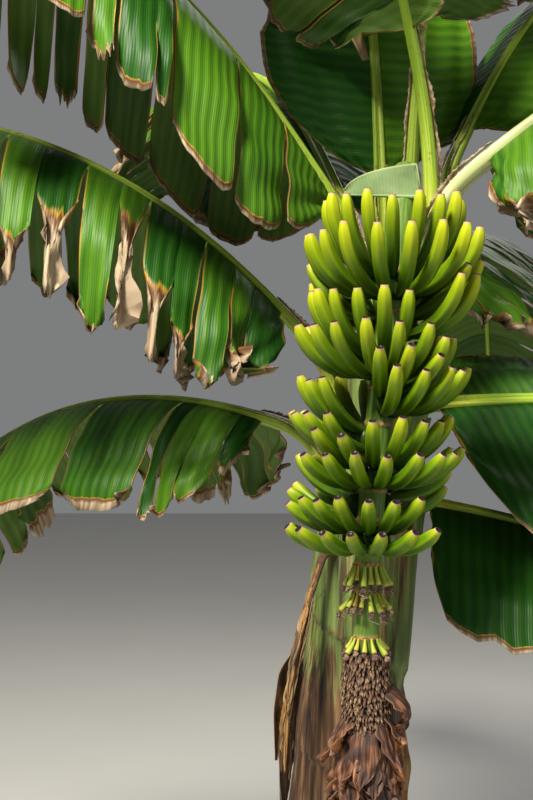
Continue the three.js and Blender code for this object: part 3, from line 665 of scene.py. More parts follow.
def stalk_margins(leaf, seed):
    """The thin dry margins of a leaf stalk: a sheet that stands on either edge of its channel, as high as a
    sine along the stalk and chance make it, and waved by a sine."""
    end = leaf["stalk"] * 1.1
    hand = np.array([-1.0, 1.0])[:, None, None]
    v = np.linspace(0, 1, MARGIN_COLUMNS)[None, None, :]
    along = np.linspace(MARGIN_START, end, MARGIN_ROWS)[None, :, None] + 0 * hand + 0 * v
    place, _, side, up = rib_frame(leaf, along)
    wide, deep = rib_size(leaf, along)
    ragged = mix(0.4, 1, chance(seed + np.round(along * 400) + 3 * hand)) * mix(0.3, 1, chance(seed + hand))
    height = MARGIN_HEIGHT * ragged * np.sin(np.pi * np.clip(along / end, 0, 1)) ** 0.4 * v
    out = wide * 0.82 + 0.45 * height + MARGIN_WAVE * v * np.sin(70 * along + 5 * hand)
    points = place + side * (hand * out)[..., None] + up * (deep * 0.62 + height)[..., None]
    return sheet_part(points, PAPER, marks={"dry": 0.45 + 0.55 * v, "tone": 0.4}, uv=pair(along, 0.3 * v))


def leaf_rib(leaf):
    """Stalk and midrib: ovals along the rib's curve, with a channel sunk along the top by a bell curve
    across."""
    along = np.linspace(0, leaf["length"], RIB_RINGS)
    place, _, side, up = rib_frame(leaf, along)
    wide, deep = rib_size(leaf, along)
    angle = circle(RIB_SIDES)[None, :]
    sideways = np.cos(angle) * wide[:, None]
    bottom = np.where(np.sin(angle) < 0, np.abs(np.sin(angle)) ** 0.85, 0)
    top = np.maximum(0, np.sin(angle))
    channel = 1.05 * np.exp(-((np.cos(angle) / 0.5) ** 2)) * top
    upward = (0.85 * top - channel * 0.75 - bottom) * deep[:, None]
    marks = {"stalk": (1 - smooth(along / STALK_TINGE))[:, None], "pale": leaf.get("pale", 0)}
    uv = pair(along[:, None], angle)[None]
    return tube_part(place[None], side[None], up[None], sideways[None], upward[None], marks, uv)


def blade_finish():
    """Satin green with fine side veins and broader pleats, paler and greyer below. Each strip has its own
    tone, from a deep to a yellowish green, partly by chance and partly as painted shade and painted sunlight
    on whole strips. Where a strip is dry it turns yellow, orange, brown and then to pale straw."""
    f = Finish("leaf_blade", 0.46, 0.2)
    veins = f.bands(66.0, 1.2, 0.6)
    pleats = f.bands(14.0, 0.8, 0.8)
    cloud = f.noise(4.0)
    streak = f.drawn((110, 4, 1), 4.0, "UV")
    tone = f.plus(f.mark("tone"), f.plus(f.times(cloud, 0.7), f.times(streak, 0.45)))
    tone = f.plus(f.less(tone, 0.67), f.times(veins, 0.06))
    tone = f.plus(tone, f.times(pleats, 0.12))
    # The deep end of this ramp is partly painted shade and the pale yellow end partly painted sunlight.
    upper = f.ramp(tone, [(0.0, (0.008, 0.056, 0.005)), (0.25, (0.026, 0.105, 0.006)),
                          (0.5, (0.085, 0.210, 0.010)), (0.75, (0.240, 0.400, 0.030)),
                          (1.0, (0.520, 0.600, 0.200))])
    below = f.ramp(tone, [(0.0, (0.032, 0.085, 0.014)), (1.0, (0.220, 0.340, 0.070))])
    green = f.blend(f.mark("under", 0.8), upper, below)
    ragged = f.less(f.plus(f.mark("dry"), f.times(streak, 0.4)), 0.22)
    dried = f.ramp(ragged, [(0.10, (0.36, 0.36, 0.04)), (0.22, (0.46, 0.22, 0.03)),
                            (0.36, (0.10, 0.042, 0.018)), (0.60, (0.30, 0.19, 0.10)),
                            (0.86, (0.66, 0.54, 0.38))])
    dried = f.blend(f.ramp(streak, [(0.42, (0.7, 0.7, 0.7)), (0.6, (0, 0, 0))]), dried, (0.16, 0.09, 0.05))
    share = f.past(ragged, 0.07, 9.0)
    bump = f.relief(veins, 0.3, 0.0008, f.relief(pleats, 0.45, 0.003))
    return f.done(f.blend(share, green, dried), bump, 0.25)


def rib_finish():
    """Yellow-green, streaked along and specked with brown, orange-yellow at the foot of the stalk, and cream
    all along where the leaf is marked as pale."""
    f = Finish("leaf_rib", 0.45)
    streak = f.drawn((4, 3, 1), 4.0, "UV")
    specks = f.spots(f.noise(90.0, detail=2.0), 0.60, 0.72)
    rib = f.ramp(streak, [(0.3, (0.120, 0.220, 0.015)), (0.5, (0.240, 0.350, 0.028)), (0.7, BRIGHT_RIB)])
    stalk = f.ramp(streak, [(0.3, (0.10, 0.19, 0.012)), (0.5, (0.30, 0.34, 0.020)),
                            (0.7, (0.56, 0.44, 0.040))])
    colour = f.blend(f.mark("stalk", 0.9), rib, stalk)
    cream = f.ramp(streak, [(0.3, (0.26, 0.31, 0.10)), (0.6, (0.62, 0.62, 0.36))])
    colour = f.blend(f.mark("pale"), colour, cream)
    colour = f.blend(f.times(specks, 0.5), colour, (0.16, 0.08, 0.03))
    return f.done(colour, f.relief(streak, 0.3, 0.001))


blade = blade_finish()
rib = rib_finish()
for number, leaf in enumerate(LEAVES, 1):
    name = "leaf_%02d" % number
    lay_rib(leaf, 100 * number)
    sheets = joined([leaf_blade(leaf, 100 * number), stalk_margins(leaf, 100 * number)])
    piece(name + "_blade", sheets, blade, "leaf", name + "_base", name + "_tip")
    piece(name + "_rib", leaf_rib(leaf), rib, "leaf")


# Each leaf stalk widens at its foot into the sheath that clasps the stem below it, and tapers away down it.
SHEATH_LENGTH = 0.34
SHEATH_TOP = 0.024
SHEATH_WIDEST = 0.085
SHEATH_THICKNESS = 0.004
SHEATH_START = 0.015
SHEATH_CLEAR = 0.0015
SHEATH_BULGES = (0.014, 0.003)
SHEATH_SINKS = 0.006
SHEATH_ROWS = 24
SHEATH_COLUMNS = 19


def sheath_part(leaf, seed):
    """The clasping foot of a stalk: a sheet round the stem whose half width grows down it by a power, and
    which bulges out in the middle, most at the top where the stalk leaves."""
    down = np.linspace(0, 1, SHEATH_ROWS)[:, None]
    t = np.linspace(-1, 1, SHEATH_COLUMNS)[None, :]
    z = leaf["root"] + SHEATH_START - SHEATH_LENGTH * down
    half = mix(SHEATH_TOP, SHEATH_WIDEST, down ** 0.7) * (1 - 0.5 * smooth((down - 0.8) / 0.2))
    radius = stem_radius(z)
    side = np.radians(leaf.get("side", leaf["heading"]))
    angle = side + t * half / radius + 0.12 * np.sin(3 * down + seed) * down
    out = radius + sheath_relief(z, angle % (2 * np.pi))[0] + SHEATH_CLEAR
    out = out + mix(*SHEATH_BULGES, down ** 0.6) * (1 - t * t) - SHEATH_SINKS * down ** 6
    middle = stem_middle(z[:, 0])[:, None, :]
    points = middle + direction(angle) * out[..., None]
    rim = np.maximum(smooth((np.abs(t) - 0.86) / 0.14), smooth((down - 0.93) / 0.07))
    return sheet_part(points[None], SHEATH_THICKNESS, marks={"rim": rim, "foot": 0.25 * down})


sheaths = [sheath_part(leaf, number) for number, leaf in enumerate(LEAVES)]
piece("stalk_sheaths", joined(sheaths), bpy.data.materials["stem_sheath"], "stem")


# The fruit stalk comes out of the stem's top, arches over and hangs plumb through the bunch. It is a stout
# green rod with fine ridges, ringed by brown scars where each bract has dropped.
STALK_ROUTE = [
    (0.143, -0.078, 1.691), (0.146, -0.106, 1.762), (0.141, -0.180, 1.800), (0.127, -0.268, 1.786),
    (0.115, -0.330, 1.722), (0.107, -0.362, 1.640), (0.092, -0.374, 1.520), (0.072, -0.378, 1.340),
    (0.059, -0.378, 1.160), (0.056, -0.376, 0.960), (0.059, -0.374, 0.760), (0.061, -0.372, 0.640),
]
STALK_TOP_RADIUS = 0.027
STALK_BUNCH_RADIUS = 0.023
STALK_LOW_RADIUS = 0.020
STALK_TIP_RADIUS = 0.011
BUNCH_START = 0.31
STALK_SHARE_STEPS = 2000
STALK_LENGTH = 1.6
STALK_RINGS = 520
STALK_SIDES = 40
SCAR_WIDTH = 0.0028
SCAR_HEIGHT = 0.0022
BRACT_SCARS = [1.622, 1.559, 1.497, 1.438, 1.382, 1.329, 1.279, 1.232, 1.163, 1.119, 1.047]


def smooth_route(knots, steps):
    """A smooth curve through points, with its tangents, at even shares of its length.

    Between two points it is a cubic whose end slopes come from the points on both sides, spaced by the square
    root of their distances, so that it neither loops nor overshoots."""
    knots = np.array(knots)
    knots = np.concatenate([[2 * knots[0] - knots[1]], knots, [2 * knots[-1] - knots[-2]]])
    gaps = np.sqrt(np.linalg.norm(np.diff(knots, axis=0), axis=1))[:, None]
    before, here, there, after = knots[:-3], knots[1:-2], knots[2:-1], knots[3:]
    d0, d1, d2 = gaps[:-2], gaps[1:-1], gaps[2:]
    leave = ((here - before) / d0 - (there - before) / (d0 + d1) + (there - here) / d1) * d1
    arrive = ((there - here) / d1 - (after - here) / (d1 + d2) + (after - there) / d2) * d1
    t = np.linspace(0, 1, 60, endpoint=False)[None, :, None]
    here, there, leave, arrive = here[:, None], there[:, None], leave[:, None], arrive[:, None]
    points = here + leave * t + (3 * (there - here) - 2 * leave - arrive) * t ** 2
    points = points + (2 * (here - there) + leave + arrive) * t ** 3
    points = np.concatenate([points.reshape(-1, 3), knots[None, -2]])
    length = np.concatenate([[0], np.cumsum(np.linalg.norm(np.diff(points, axis=0), axis=1))])
    even = np.linspace(0, length[-1], steps)
    placed = np.stack([np.interp(even, length, points[:, axis]) for axis in range(3)], -1)
    return placed, unit(np.gradient(placed, axis=0))


stalk_points, stalk_forward = smooth_route(STALK_ROUTE, STALK_SHARE_STEPS)


def stalk_radius(share):
    """The stalk's radius at a share of its length: it thins evenly to the bunch, then faster below."""
    above = mix(STALK_TOP_RADIUS, STALK_BUNCH_RADIUS, share / BUNCH_START)
    below = mix(STALK_BUNCH_RADIUS, STALK_LOW_RADIUS, (share - BUNCH_START) / 0.4)
    return np.where(share < BUNCH_START, above, np.maximum(STALK_TIP_RADIUS, below))


def stalk_at(z):
    """The stalk's middle and radius at a height below its arch."""
    first = int(STALK_SHARE_STEPS * BUNCH_START * 0.9)
    share = np.linspace(0, 1, STALK_SHARE_STEPS)[first:]
    falling = stalk_points[first:]
    found = [np.interp(-z, -falling[:, 2], values) for values in (falling[:, 0], falling[:, 1], share)]
    return np.stack([found[0], found[1], np.asarray(z, float)], -1), stalk_radius(found[2])


def stalk_part():
    """A tube along the stalk's curve with thirteen shallow ridges, swollen in a narrow bell curve at each
    scar."""
    share = np.linspace(0, 1, STALK_RINGS)
    pick = np.round(share * (STALK_SHARE_STEPS - 1)).astype(int)
    middle, forward = stalk_points[pick], stalk_forward[pick]
    across = unit(EAST - forward * forward[:, :1])
    angle = circle(STALK_SIDES)[None, :]
    falling = share > BUNCH_START * 0.9
    scar = np.zeros(len(share))
    for height in BRACT_SCARS:
        scar = np.maximum(scar, np.exp(-(((middle[:, 2] - height) / SCAR_WIDTH) ** 2)) * falling)
    radius = stalk_radius(share) * (1 - 0.02 * smooth((share - 0.98) / 0.02)) + SCAR_HEIGHT * scar
    ridged = radius[:, None] * (1 + 0.012 * np.sin(13 * angle + 2 * share[:, None]))
    uv = pair(share[:, None] * STALK_LENGTH, angle * STALK_LOW_RADIUS)
    return rod_part(middle, across, np.cross(forward, across), ridged, {"scar": scar[:, None]}, uv)


def stalk_finish():
    """Deep green, streaked along, speckled with brown, with orange-brown scars."""
    f = Finish("fruit_stalk", 0.5)
    streak = f.drawn((18, 260, 1), 3.0, "UV")
    speck = f.noise(160.0, detail=2.0)
    green = f.ramp(streak, [(0.3, (0.045, 0.10, 0.012)), (0.7, (0.13, 0.22, 0.03))])
    green = f.blend(f.times(f.spots(speck, 0.62, 0.70), 0.5), green, (0.12, 0.07, 0.03))
    scars = f.ramp(speck, [(0.35, (0.16, 0.06, 0.02)), (0.65, (0.46, 0.22, 0.09))])
    return f.done(f.blend(f.mark("scar"), green, scars), f.relief(streak, 0.4, 0.0012))


piece("hanging_stalk", stalk_part(), stalk_finish(), "stalk", "peduncle_rise", "peduncle_fall", "rachis")


# A hand is two rows of fingers that grow from one cushion on the stalk and turn up towards the light, as far
# as the hand above lets them. A finger is a ribbed berry with a narrow neck, ending in a tan scar with a dark
# middle.
HANDS = 8
HAND_TOP = 1.586
PITCH_TOP = 0.064
PITCH_BOTTOM = 0.049
FACING = 268
TURN = 150
SPREAD_TOP = 210
SPREAD_BOTTOM = 168
COLUMNS = 17
ROW_GAP = 0.025
FINGER_LENGTHS = (0.162, 0.118)
FINGER_RADII = (0.0118, 0.0120)
FINGER_START = 0.005
FINGER_ROOM = 0.0015
FINGER_ROWS = [
    dict(lift=0.0, first=(0, -10), last=(84, 44), long=1.0),
    dict(lift=ROW_GAP, first=(26, 4), last=(90, 58), long=0.97),
]
MARK_SHARES = np.array([0, 0.26, 0.7, 1])
MARK_SWELLS = np.array([0.42, 0.86, 1, 0.45])
TRIES = 14
EASE_LAST = 6
EASE_FIRST = 2.5
CUSHION_REACH = 0.021
CUSHION_HALF_HEIGHT = 0.020
CUSHION_RINGS = 73
CUSHION_SIDES = 24
FINGER_SIDES = 20
FINGER_LENGTHENS = (0.93, 1.03)
FINGER_STOUTNESS = (0.97, 1.05)
RIDGES = 5
RIDGE_DEPTH = 0.18
SKIN_MAP = 0.012
FINGER_OUTLINE = np.array([
    (-0.16, 0.44), (-0.05, 0.46), (0.05, 0.50), (0.12, 0.60), (0.19, 0.76), (0.27, 0.89), (0.36, 0.96),
    (0.46, 0.99), (0.56, 1.00), (0.66, 1.00), (0.75, 0.99), (0.82, 0.96), (0.87, 0.91), (0.91, 0.84),
    (0.94, 0.75), (0.962, 0.65), (0.980, 0.56), (0.992, 0.52), (1.004, 0.51), (1.010, 0.45), (1.005, 0.35),
    (0.996, 0.22),
])


def finger_path(finger, share):
    """Where a finger's middle runs, and its direction: an arc that leaves the cushion at one slope and ends
    at another, so that both are given by the sine and cosine of the slope."""
    first, sweep = np.radians(finger["first"]), np.radians(finger["last"] - finger["first"])
    slope = first + sweep * share
    out = finger["start"] + (np.sin(slope) - np.sin(first)) / sweep * finger["length"]
    rise = (np.cos(first) - np.cos(slope)) / sweep * finger["length"]
    place = finger["root"] + direction(finger["heading"]) * out[..., None] + UP * rise[..., None]
    return place, direction(finger["heading"], slope)


def settled(finger, above):
    """The finger turned up as far as those above let it, with the balls that mark its room, or none without
    room."""
    fine = np.linspace(0, 3, 16)[:-1]
    reach = finger["radius"] * np.interp(fine, np.arange(4), MARK_SWELLS)
    for i in range(TRIES):
        tried = dict(finger, last=finger["last"] - EASE_LAST * i, first=finger["first"] - EASE_FIRST * i)
        ends = finger_path(tried, MARK_SHARES)[0]
        balls = np.stack([np.interp(fine, np.arange(4), ends[:, axis]) for axis in range(3)], -1)
        if not len(above["at"]):
            return tried, balls, reach
        apart = np.linalg.norm(balls[:, None] - above["at"][None], axis=-1)
        if np.all(apart > reach[:, None] + above["reach"][None] + FINGER_ROOM):
            return tried, balls, reach
    return None


def hand_fingers(index, height, above):
    """The fingers of a hand: two rows in shared columns over the hand's spread, each settled under those
    above."""
    t = index / (HANDS - 1)
    facing, spread = FACING + TURN * index, mix(SPREAD_TOP, SPREAD_BOTTOM, t)
    point, stalk_here = stalk_at(height)
    length = mix(*FINGER_LENGTHS, t ** 0.85)
    grown = []
    for half, row in enumerate(FINGER_ROWS):
        for column in range(COLUMNS):
            place = 360 * (column + half / 2) / COLUMNS
            aside = (place - facing + 180) % 360 - 180
            if abs(aside) > spread / 2:
                continue
            finger = dict(
                first=mix(*row["first"], t),
                last=mix(*row["last"], t),
                length=length * row["long"],
                radius=mix(*FINGER_RADII, t),
                heading=np.radians(place),
                start=stalk_here + FINGER_START,
                root=np.array([point[0], point[1], height + row["lift"]]),
            )
            found = settled(finger, above)
            if found:
                grown.append(found)
    for _, balls, reach in grown:
        above["at"] = np.concatenate([above["at"], balls])
        above["reach"] = np.concatenate([above["reach"], reach])
    return [finger for finger, _, _ in grown]


def fingers_part(fingers, sun, seed):
    """Fingers as tubes along their arcs: the radius follows the outline and swells to five rounded ridges by
    the sine of the angle, less so at neck and tip. Each differs a little in length, turn and thickness."""
    count = len(fingers)
    luck = chance(seed + 3.7 * np.arange(count))[:, None]
    more = chance(seed + 60 + 2.3 * np.arange(count))[:, None]
    keys = ("first", "last", "length", "start", "radius", "heading")
    many = {key: np.array([finger[key] for finger in fingers])[:, None] for key in keys}
    many["root"] = np.array([finger["root"] for finger in fingers])[:, None]
    many["length"] = many["length"] * mix(*FINGER_LENGTHENS, luck)
    many["heading"] = many["heading"] + np.radians(2.4) * (more - 0.5)
    many["last"] = many["last"] + 3 * (luck - 0.6)
    share, swell = FINGER_OUTLINE[None, :, 0], FINGER_OUTLINE[None, :, 1]
    place, forward = finger_path(many, share)
    across = direction(many["heading"] + np.pi / 2)
    angle = circle(FINGER_SIDES)[None, None, :]
    lobe = np.abs(np.sin(RIDGES / 2 * (angle + np.pi / 2 + 0.5 * (more - 0.5)[..., None])))
    body = smooth((share + 0.02) / 0.2) * smooth((1.02 - share) / 0.1)
    ribbed = 1 + 0.05 - RIDGE_DEPTH * body[..., None] * lobe
    radius = (many["radius"] * 0.97 * mix(*FINGER_STOUTNESS, more) * swell)[..., None] * ribbed
    from_end = np.arange(-len(FINGER_OUTLINE), 0)[None, :, None]
    # The ridge mark carries a painted highlight along the ridge tops, and sun carries painted sunlight.
    marks = {"share": share[..., None], "ridge": (1 - lobe) ** 2 * body[..., None], "luck": luck[..., None],
             "scar": smooth((from_end + 6.5) / 2), "core": smooth((from_end + 5.2) / 3), "sun": sun}
    uv = pair(share[..., None] * many["length"][..., None], angle * SKIN_MAP + luck[..., None])
    return rod_part(place, across, np.cross(forward, across), radius, marks, uv)


def cushion_part(index, height):
    """The cushion: an oval section carried round the stalk over the hand's spread, which sinks into the stalk
    at both ends, with a bulge at each finger."""
    t = index / (HANDS - 1)
    half = np.radians(mix(SPREAD_TOP, SPREAD_BOTTOM, t) / 2 + 14)
    facing = np.radians(FACING + TURN * index)
    point, stalk_here = stalk_at(height + ROW_GAP / 2)
    turn = np.linspace(-1, 1, CUSHION_RINGS)
    angle = circle(CUSHION_SIDES)[None, :]
    size = np.maximum(0.02, 1 - np.abs(turn) ** 6) ** 0.5
    around = facing + turn * half
    lump = 1 + 0.06 * np.cos(around * COLUMNS)
    outward = direction(around)
    middle = point + outward * (stalk_here + CUSHION_REACH * 0.2)
    wide = (size * lump * CUSHION_REACH * 0.86)[:, None] * np.cos(angle)
    deep = (size * CUSHION_HALF_HEIGHT * 1.12)[:, None] * np.sin(angle)
    over = np.broadcast_to(UP, outward.shape)
    # The cushion gets the darkest skin colour: painted shade under the fingers.
    marks = {"share": -0.3, "luck": 0.5}
    return tube_part(middle[None], -outward[None], over[None], wide[None], deep[None], marks)


def fruit_finish():
    """Waxy green skin, darker towards the neck as painted shade, yellower towards the tip, with a painted
    highlight along the ridges and painted sunlight that makes the upper hands yellower, each finger a little
    different, with fine specks and a brown scar whose middle is nearly black."""
    f = Finish("banana_skin", 0.36, 0.16)
    cloud = f.noise(22.0)
    streak = f.drawn((25, 420, 1), 2.0, "UV")
    specks = f.spots(f.noise(420.0, detail=2.0), 0.68, 0.75)
    share = f.mark("share")
    # Darker towards the neck is painted shade, nearly black where the fingers meet the cushion; yellower
    # towards the tip.
    along = f.ramp(share, [(0.0, (0.008, 0.020, 0.002)), (0.2, (0.016, 0.050, 0.002)),
                           (0.5, (0.027, 0.084, 0.001)), (0.82, (0.080, 0.172, 0.002)),
                           (0.97, (0.260, 0.330, 0.008))])
    # Painted sunlight: sunny is a lit copy of the skin's colours, and the sun mark gives more of it to the
    # upper hands.
    sunny = f.ramp(share, [(0.2, (0.044, 0.112, 0.001)), (0.6, (0.124, 0.218, 0.002)),
                           (0.95, (0.560, 0.550, 0.010))])
    tint = f.plus(f.mark("luck", 0.5), f.times(cloud, 0.7))
    tint = f.plus(f.less(tint, 0.55), f.mark("sun", 0.32))
    colour = f.blend(tint, along, sunny)
    colour = f.blend(f.times(streak, 0.28), colour, (0.022, 0.062, 0.003))
    # Painted highlight along the tops of the ridges.
    colour = f.blend(f.mark("ridge", 0.34), colour, (0.26, 0.34, 0.008))
    colour = f.blend(f.times(specks, 0.55), colour, (0.05, 0.03, 0.015))
    scar = f.ramp(f.plus(f.mark("core"), f.times(cloud, 0.4)),
                  [(0.3, (0.46, 0.33, 0.16)), (0.66, (0.17, 0.09, 0.05)), (0.95, (0.014, 0.009, 0.007))])
    colour = f.blend(f.mark("scar"), colour, scar)
    return f.done(colour, f.relief(streak, 0.14, 0.001))


skin = fruit_finish()
fingers_above = {"at": np.zeros((0, 3)), "reach": np.zeros(0)}
hand_height = HAND_TOP
for index in range(HANDS):
    # Painted sunlight, strongest on the top hand and none on the lowest.
    sun = (1 - index / (HANDS - 1)) ** 2
    fingers = fingers_part(hand_fingers(index, hand_height, fingers_above), sun, 900 + 31 * index)
    name = "hand_%d" % (index + 1)
    piece(name + "_fruit", joined([fingers, cushion_part(index, hand_height)]), skin, "fruit", name)
    hand_height -= mix(PITCH_TOP, PITCH_BOTTOM, index / (HANDS - 2))


# Below the last hand the stalk bears whorls of small unfilled fingers: pale, cut off square at the end,
# hanging from a scar, each with the dry thread-like remains of its flower.
WHORLS = [
    dict(height=1.162, fingers=8, length=0.037, flare=0.013, threads=3),
    dict(height=1.118, fingers=8, length=0.032, flare=0.020, threads=3),
    dict(height=1.046, fingers=7, length=0.026, flare=0.017, threads=1),
]
WHORL_RADII = (0.0020, 0.0054)
WHORL_RINGS = 9
WHORL_SIDES = 10
WHORL_START = 0.002
THREAD_LENGTHS = (0.010, 0.026)
THREAD_RADIUS = 0.0009
THREAD_FLAT = (1.3, 1)
THREAD_WAVE = 0.0015
CUP_LENGTH = 0.011
CUP_RADIUS = 0.0030
THREAD_RINGS = 16
THREAD_SIDES = 6


def whorl_fingers(whorl, seed):
    """Small fingers as tubes that hang from the scar ring and flare: the radius doubles down the length, by a
    power of it, and their middles swing out by the square of the way down."""
    count = whorl["fingers"] * 2
    luck = chance(seed + 1.9 * np.arange(count))[:, None]
    angle = (2 * np.pi * (np.arange(count) + 0.4 * luck[:, 0]) / count)[:, None]
    point, radius = stalk_at(whorl["height"])
    t = np.linspace(0, 1, WHORL_RINGS)[None, :]
    length = whorl["length"] * mix(0.62, 1.0, luck)
    out = radius + WHORL_START + (whorl["flare"] * mix(0.3, 1.2, luck)) * t ** 1.5
    outward = direction(angle)
    middle = point + outward * out[..., None] - UP * (length * t)[..., None]
    forward = unit(np.gradient(middle, axis=1))
    across = direction(angle + np.pi / 2)
    side = circle(WHORL_SIDES)[None, None, :]
    thick = mix(*WHORL_RADII, t ** 1.3) * mix(0.7, 1.1, luck)
    thick = (thick * (1 - 0.25 * smooth((t - 0.93) / 0.07)))[..., None] * (1 + 0.10 * np.cos(3 * side))
    marks = {"share": t[..., None], "luck": luck[..., None]}
    part = rod_part(middle, across, np.cross(forward, across), thick, marks)
    return part, middle[:, -1], outward[:, 0]


def thread_part(starts, outward, each, seed):
    """Dry flowers: a hanging line whose place swings sideways and out by sines that grow down it. The first
    of each flower is thick and short, its shrivelled cup, and the rest are thin threads."""
    cup = np.tile(np.arange(each) == 0, len(starts))[:, None]
    starts, outward = np.repeat(starts, each, 0), np.repeat(outward, each, 0)
    count = len(starts)
    dice = chance(seed + 1.3 * np.arange(4 * count)).reshape(4, count, 1)
    t = np.linspace(0, 1, THREAD_RINGS)[None, :]
    side = np.cross(UP, outward)[:, None, :]
    length = np.where(cup, CUP_LENGTH, mix(*THREAD_LENGTHS, dice[0]))
    swing = length * 0.45 * t * np.sin(7 * t * mix(0.6, 1.5, dice[1]) + 6 * dice[2])
    away = length * t * mix(-0.1, 0.6, dice[3]) + THREAD_WAVE * t * np.sin(11 * t + 7 * dice[1])
    middle = starts[:, None] + outward[:, None] * away[..., None] + side * swing[..., None]
    middle = middle - UP * (length * (t - 0.25 * t ** 2))[..., None]
    forward = unit(np.gradient(middle, axis=1))
    across = unit(np.cross(forward, outward[:, None] + 0.31 * UP))
    angle = circle(THREAD_SIDES)[None, None, :]
    thick = np.where(cup, CUP_RADIUS * (1 - 0.5 * np.abs(2 * t - 1)), THREAD_RADIUS * (1 - 0.6 * t))
    thick = thick * mix(0.8, 1.3, dice[2])
    thick = thick[..., None] * (1 + 0.25 * np.sin(2 * angle + 9 * t[..., None]))
    marks = {"luck": dice[0][..., None]}
    return rod_part(middle, across, np.cross(forward, across), thick, marks, flat=THREAD_FLAT)


def whorl_finish():
    """Yellow-green, some yellow-orange, dry and brown at the cut end."""
    f = Finish("unfilled_finger", 0.55)
    fresh = f.ramp(f.mark("luck"), [(0.0, (0.42, 0.24, 0.04)), (0.3, (0.36, 0.36, 0.04)),
                                    (1.0, (0.20, 0.30, 0.03))])
    colour = f.blend(f.past(f.mark("share"), 0.80, 2.6), fresh, (0.50, 0.42, 0.08))
    cut = f.spots(f.mark("share"), 0.97, 1.0)
    return f.done(f.blend(cut, colour, (0.24, 0.13, 0.06)), f.relief(f.noise(260.0), 0.3, 0.0008))


def thread_finish():
    """Dark brown dry flowers, some grey or tan."""
    f = Finish("dry_thread", 0.9)
    grain = f.noise(260.0)
    colour = f.ramp(f.mark("luck"), [(0.0, (0.035, 0.020, 0.016)), (0.6, (0.11, 0.065, 0.048)),
                                     (1.0, (0.30, 0.21, 0.15))])
    colour = f.blend(f.past(grain, 0.45, 2.5), colour, (0.24, 0.15, 0.10))
    return f.done(colour, f.relief(grain, 0.4, 0.0008))


unfilled, threads = whorl_finish(), thread_finish()
for number, whorl in enumerate(WHORLS, 1):
    small, ends, outward = whorl_fingers(whorl, 1300 + 50 * number)
    piece("whorl_%d_fingers" % number, small, unfilled, "flower_whorl", "flower_whorl_%d" % number)
    dry = thread_part(ends, outward, whorl["threads"], 1320 + 50 * number)
    piece("whorl_%d_threads" % number, dry, threads, "dried_flowers")


# The male flowers above the bud have dried in place: rows of small brown stubs that clothe the stalk as a
# sleeve, pale at their frayed ends, with dark gaps between, painted nearly black as shade.
SLEEVE_TOP = 1.024
SLEEVE_BOTTOM = 0.896
SLEEVE_CORE = 0.031
SLEEVE_ROWS = 12
SLEEVE_COLUMNS = 33
STUB_LENGTH = 0.0160
STUB_RADIUS = 0.0031
STUB_FLAT = (1, 0.55)
STUB_OUTLINE = ([0, 0.25, 0.6, 0.85, 1], [0.4, 0.8, 1.0, 0.7, 0.15])
STUB_RINGS = 7
STUB_SIDES = 6
SLEEVE_SWELL = 0.004
CORE_RINGS = 90
CORE_SIDES = 48
CORE_WAVES = (0.0012, 0.0008)
STUBS_FROM = 0.001
STUBS_TO = 0.012
STUB_SINKS = 0.002


def sleeve_core():
    """The sleeve's dark ground, painted nearly black as shade between the stubs: rings round the stalk, waved
    by a sine at each row of flowers.
    """
    t = np.linspace(0, 1, CORE_RINGS)[:, None]
    angle = circle(CORE_SIDES)[None, :]
    radius = SLEEVE_CORE + SLEEVE_SWELL * np.sin(np.pi * t)
    radius = radius + CORE_WAVES[0] * np.sin(2 * np.pi * SLEEVE_ROWS * t)
    radius = radius * (1 - 0.35 * np.exp(-t / 0.03)) + CORE_WAVES[1] * np.sin(17 * angle)
    middle, _ = stalk_at(np.linspace(SLEEVE_TOP, SLEEVE_BOTTOM, CORE_RINGS))
    return rod_part(middle, EAST, -NORTH, radius, {"share": 0.0, "luck": 0.2})


def sleeve_stubs():
    """Stubs in rows round the stalk, each a bent tube that leans out and down and curls up again at its end.
    A row is two rings close together, so that a dark gap is left under it."""
    ring, column = np.meshgrid(np.arange(SLEEVE_ROWS * 2), np.arange(SLEEVE_COLUMNS), indexing="ij")
    ring, column = ring.ravel(), column.ravel()
    count = len(ring)
    dice = chance(1700 + 1.1 * np.arange(6 * count)).reshape(6, count, 1)
    row = ring // 2 + 0.28 * (ring % 2) + 0.12 * (dice[0][:, 0] - 0.5)
    z = mix(SLEEVE_TOP - STUBS_FROM, SLEEVE_BOTTOM + STUBS_TO, row / (SLEEVE_ROWS - 0.6))
    middle, _ = stalk_at(z)
    angle = 2 * np.pi * (column + 0.5 * (ring % 2) + 0.35 * (dice[1][:, 0] - 0.5)) / SLEEVE_COLUMNS
    outward = direction(angle)[:, None]
    side = np.cross(UP, outward)
    t = np.linspace(0, 1, STUB_RINGS)[None, :]
    length = STUB_LENGTH * mix(0.7, 1.15, dice[2])
    swell = SLEEVE_SWELL * np.sin(np.pi * (SLEEVE_TOP - z) / (SLEEVE_TOP - SLEEVE_BOTTOM))[:, None]
    out = SLEEVE_CORE - STUB_SINKS + swell + length * (0.85 * t - 0.40 * t ** 2) * mix(0.7, 1.1, dice[3])
    fall = length * (0.45 * t + 0.40 * t ** 2)
    place = middle[:, None] + outward * out[..., None] - UP * fall[..., None]
    place = place + side * (length * (dice[4] - 0.5) * 0.75 * t)[..., None]
    forward = unit(np.gradient(place, axis=1))
    across = unit(np.cross(forward, outward + 0.2 * UP))
    around = circle(STUB_SIDES)[None, None, :]
    thick = STUB_RADIUS * np.interp(t, *STUB_OUTLINE) * mix(0.6, 1.0, dice[5])
    thick = thick[..., None] * (1 + 0.25 * np.sin(2 * around + 7 * t[..., None]))
    marks = {"share": t[..., None], "luck": dice[5][..., None]}
    return rod_part(place, across, np.cross(forward, across), thick, marks, flat=STUB_FLAT)


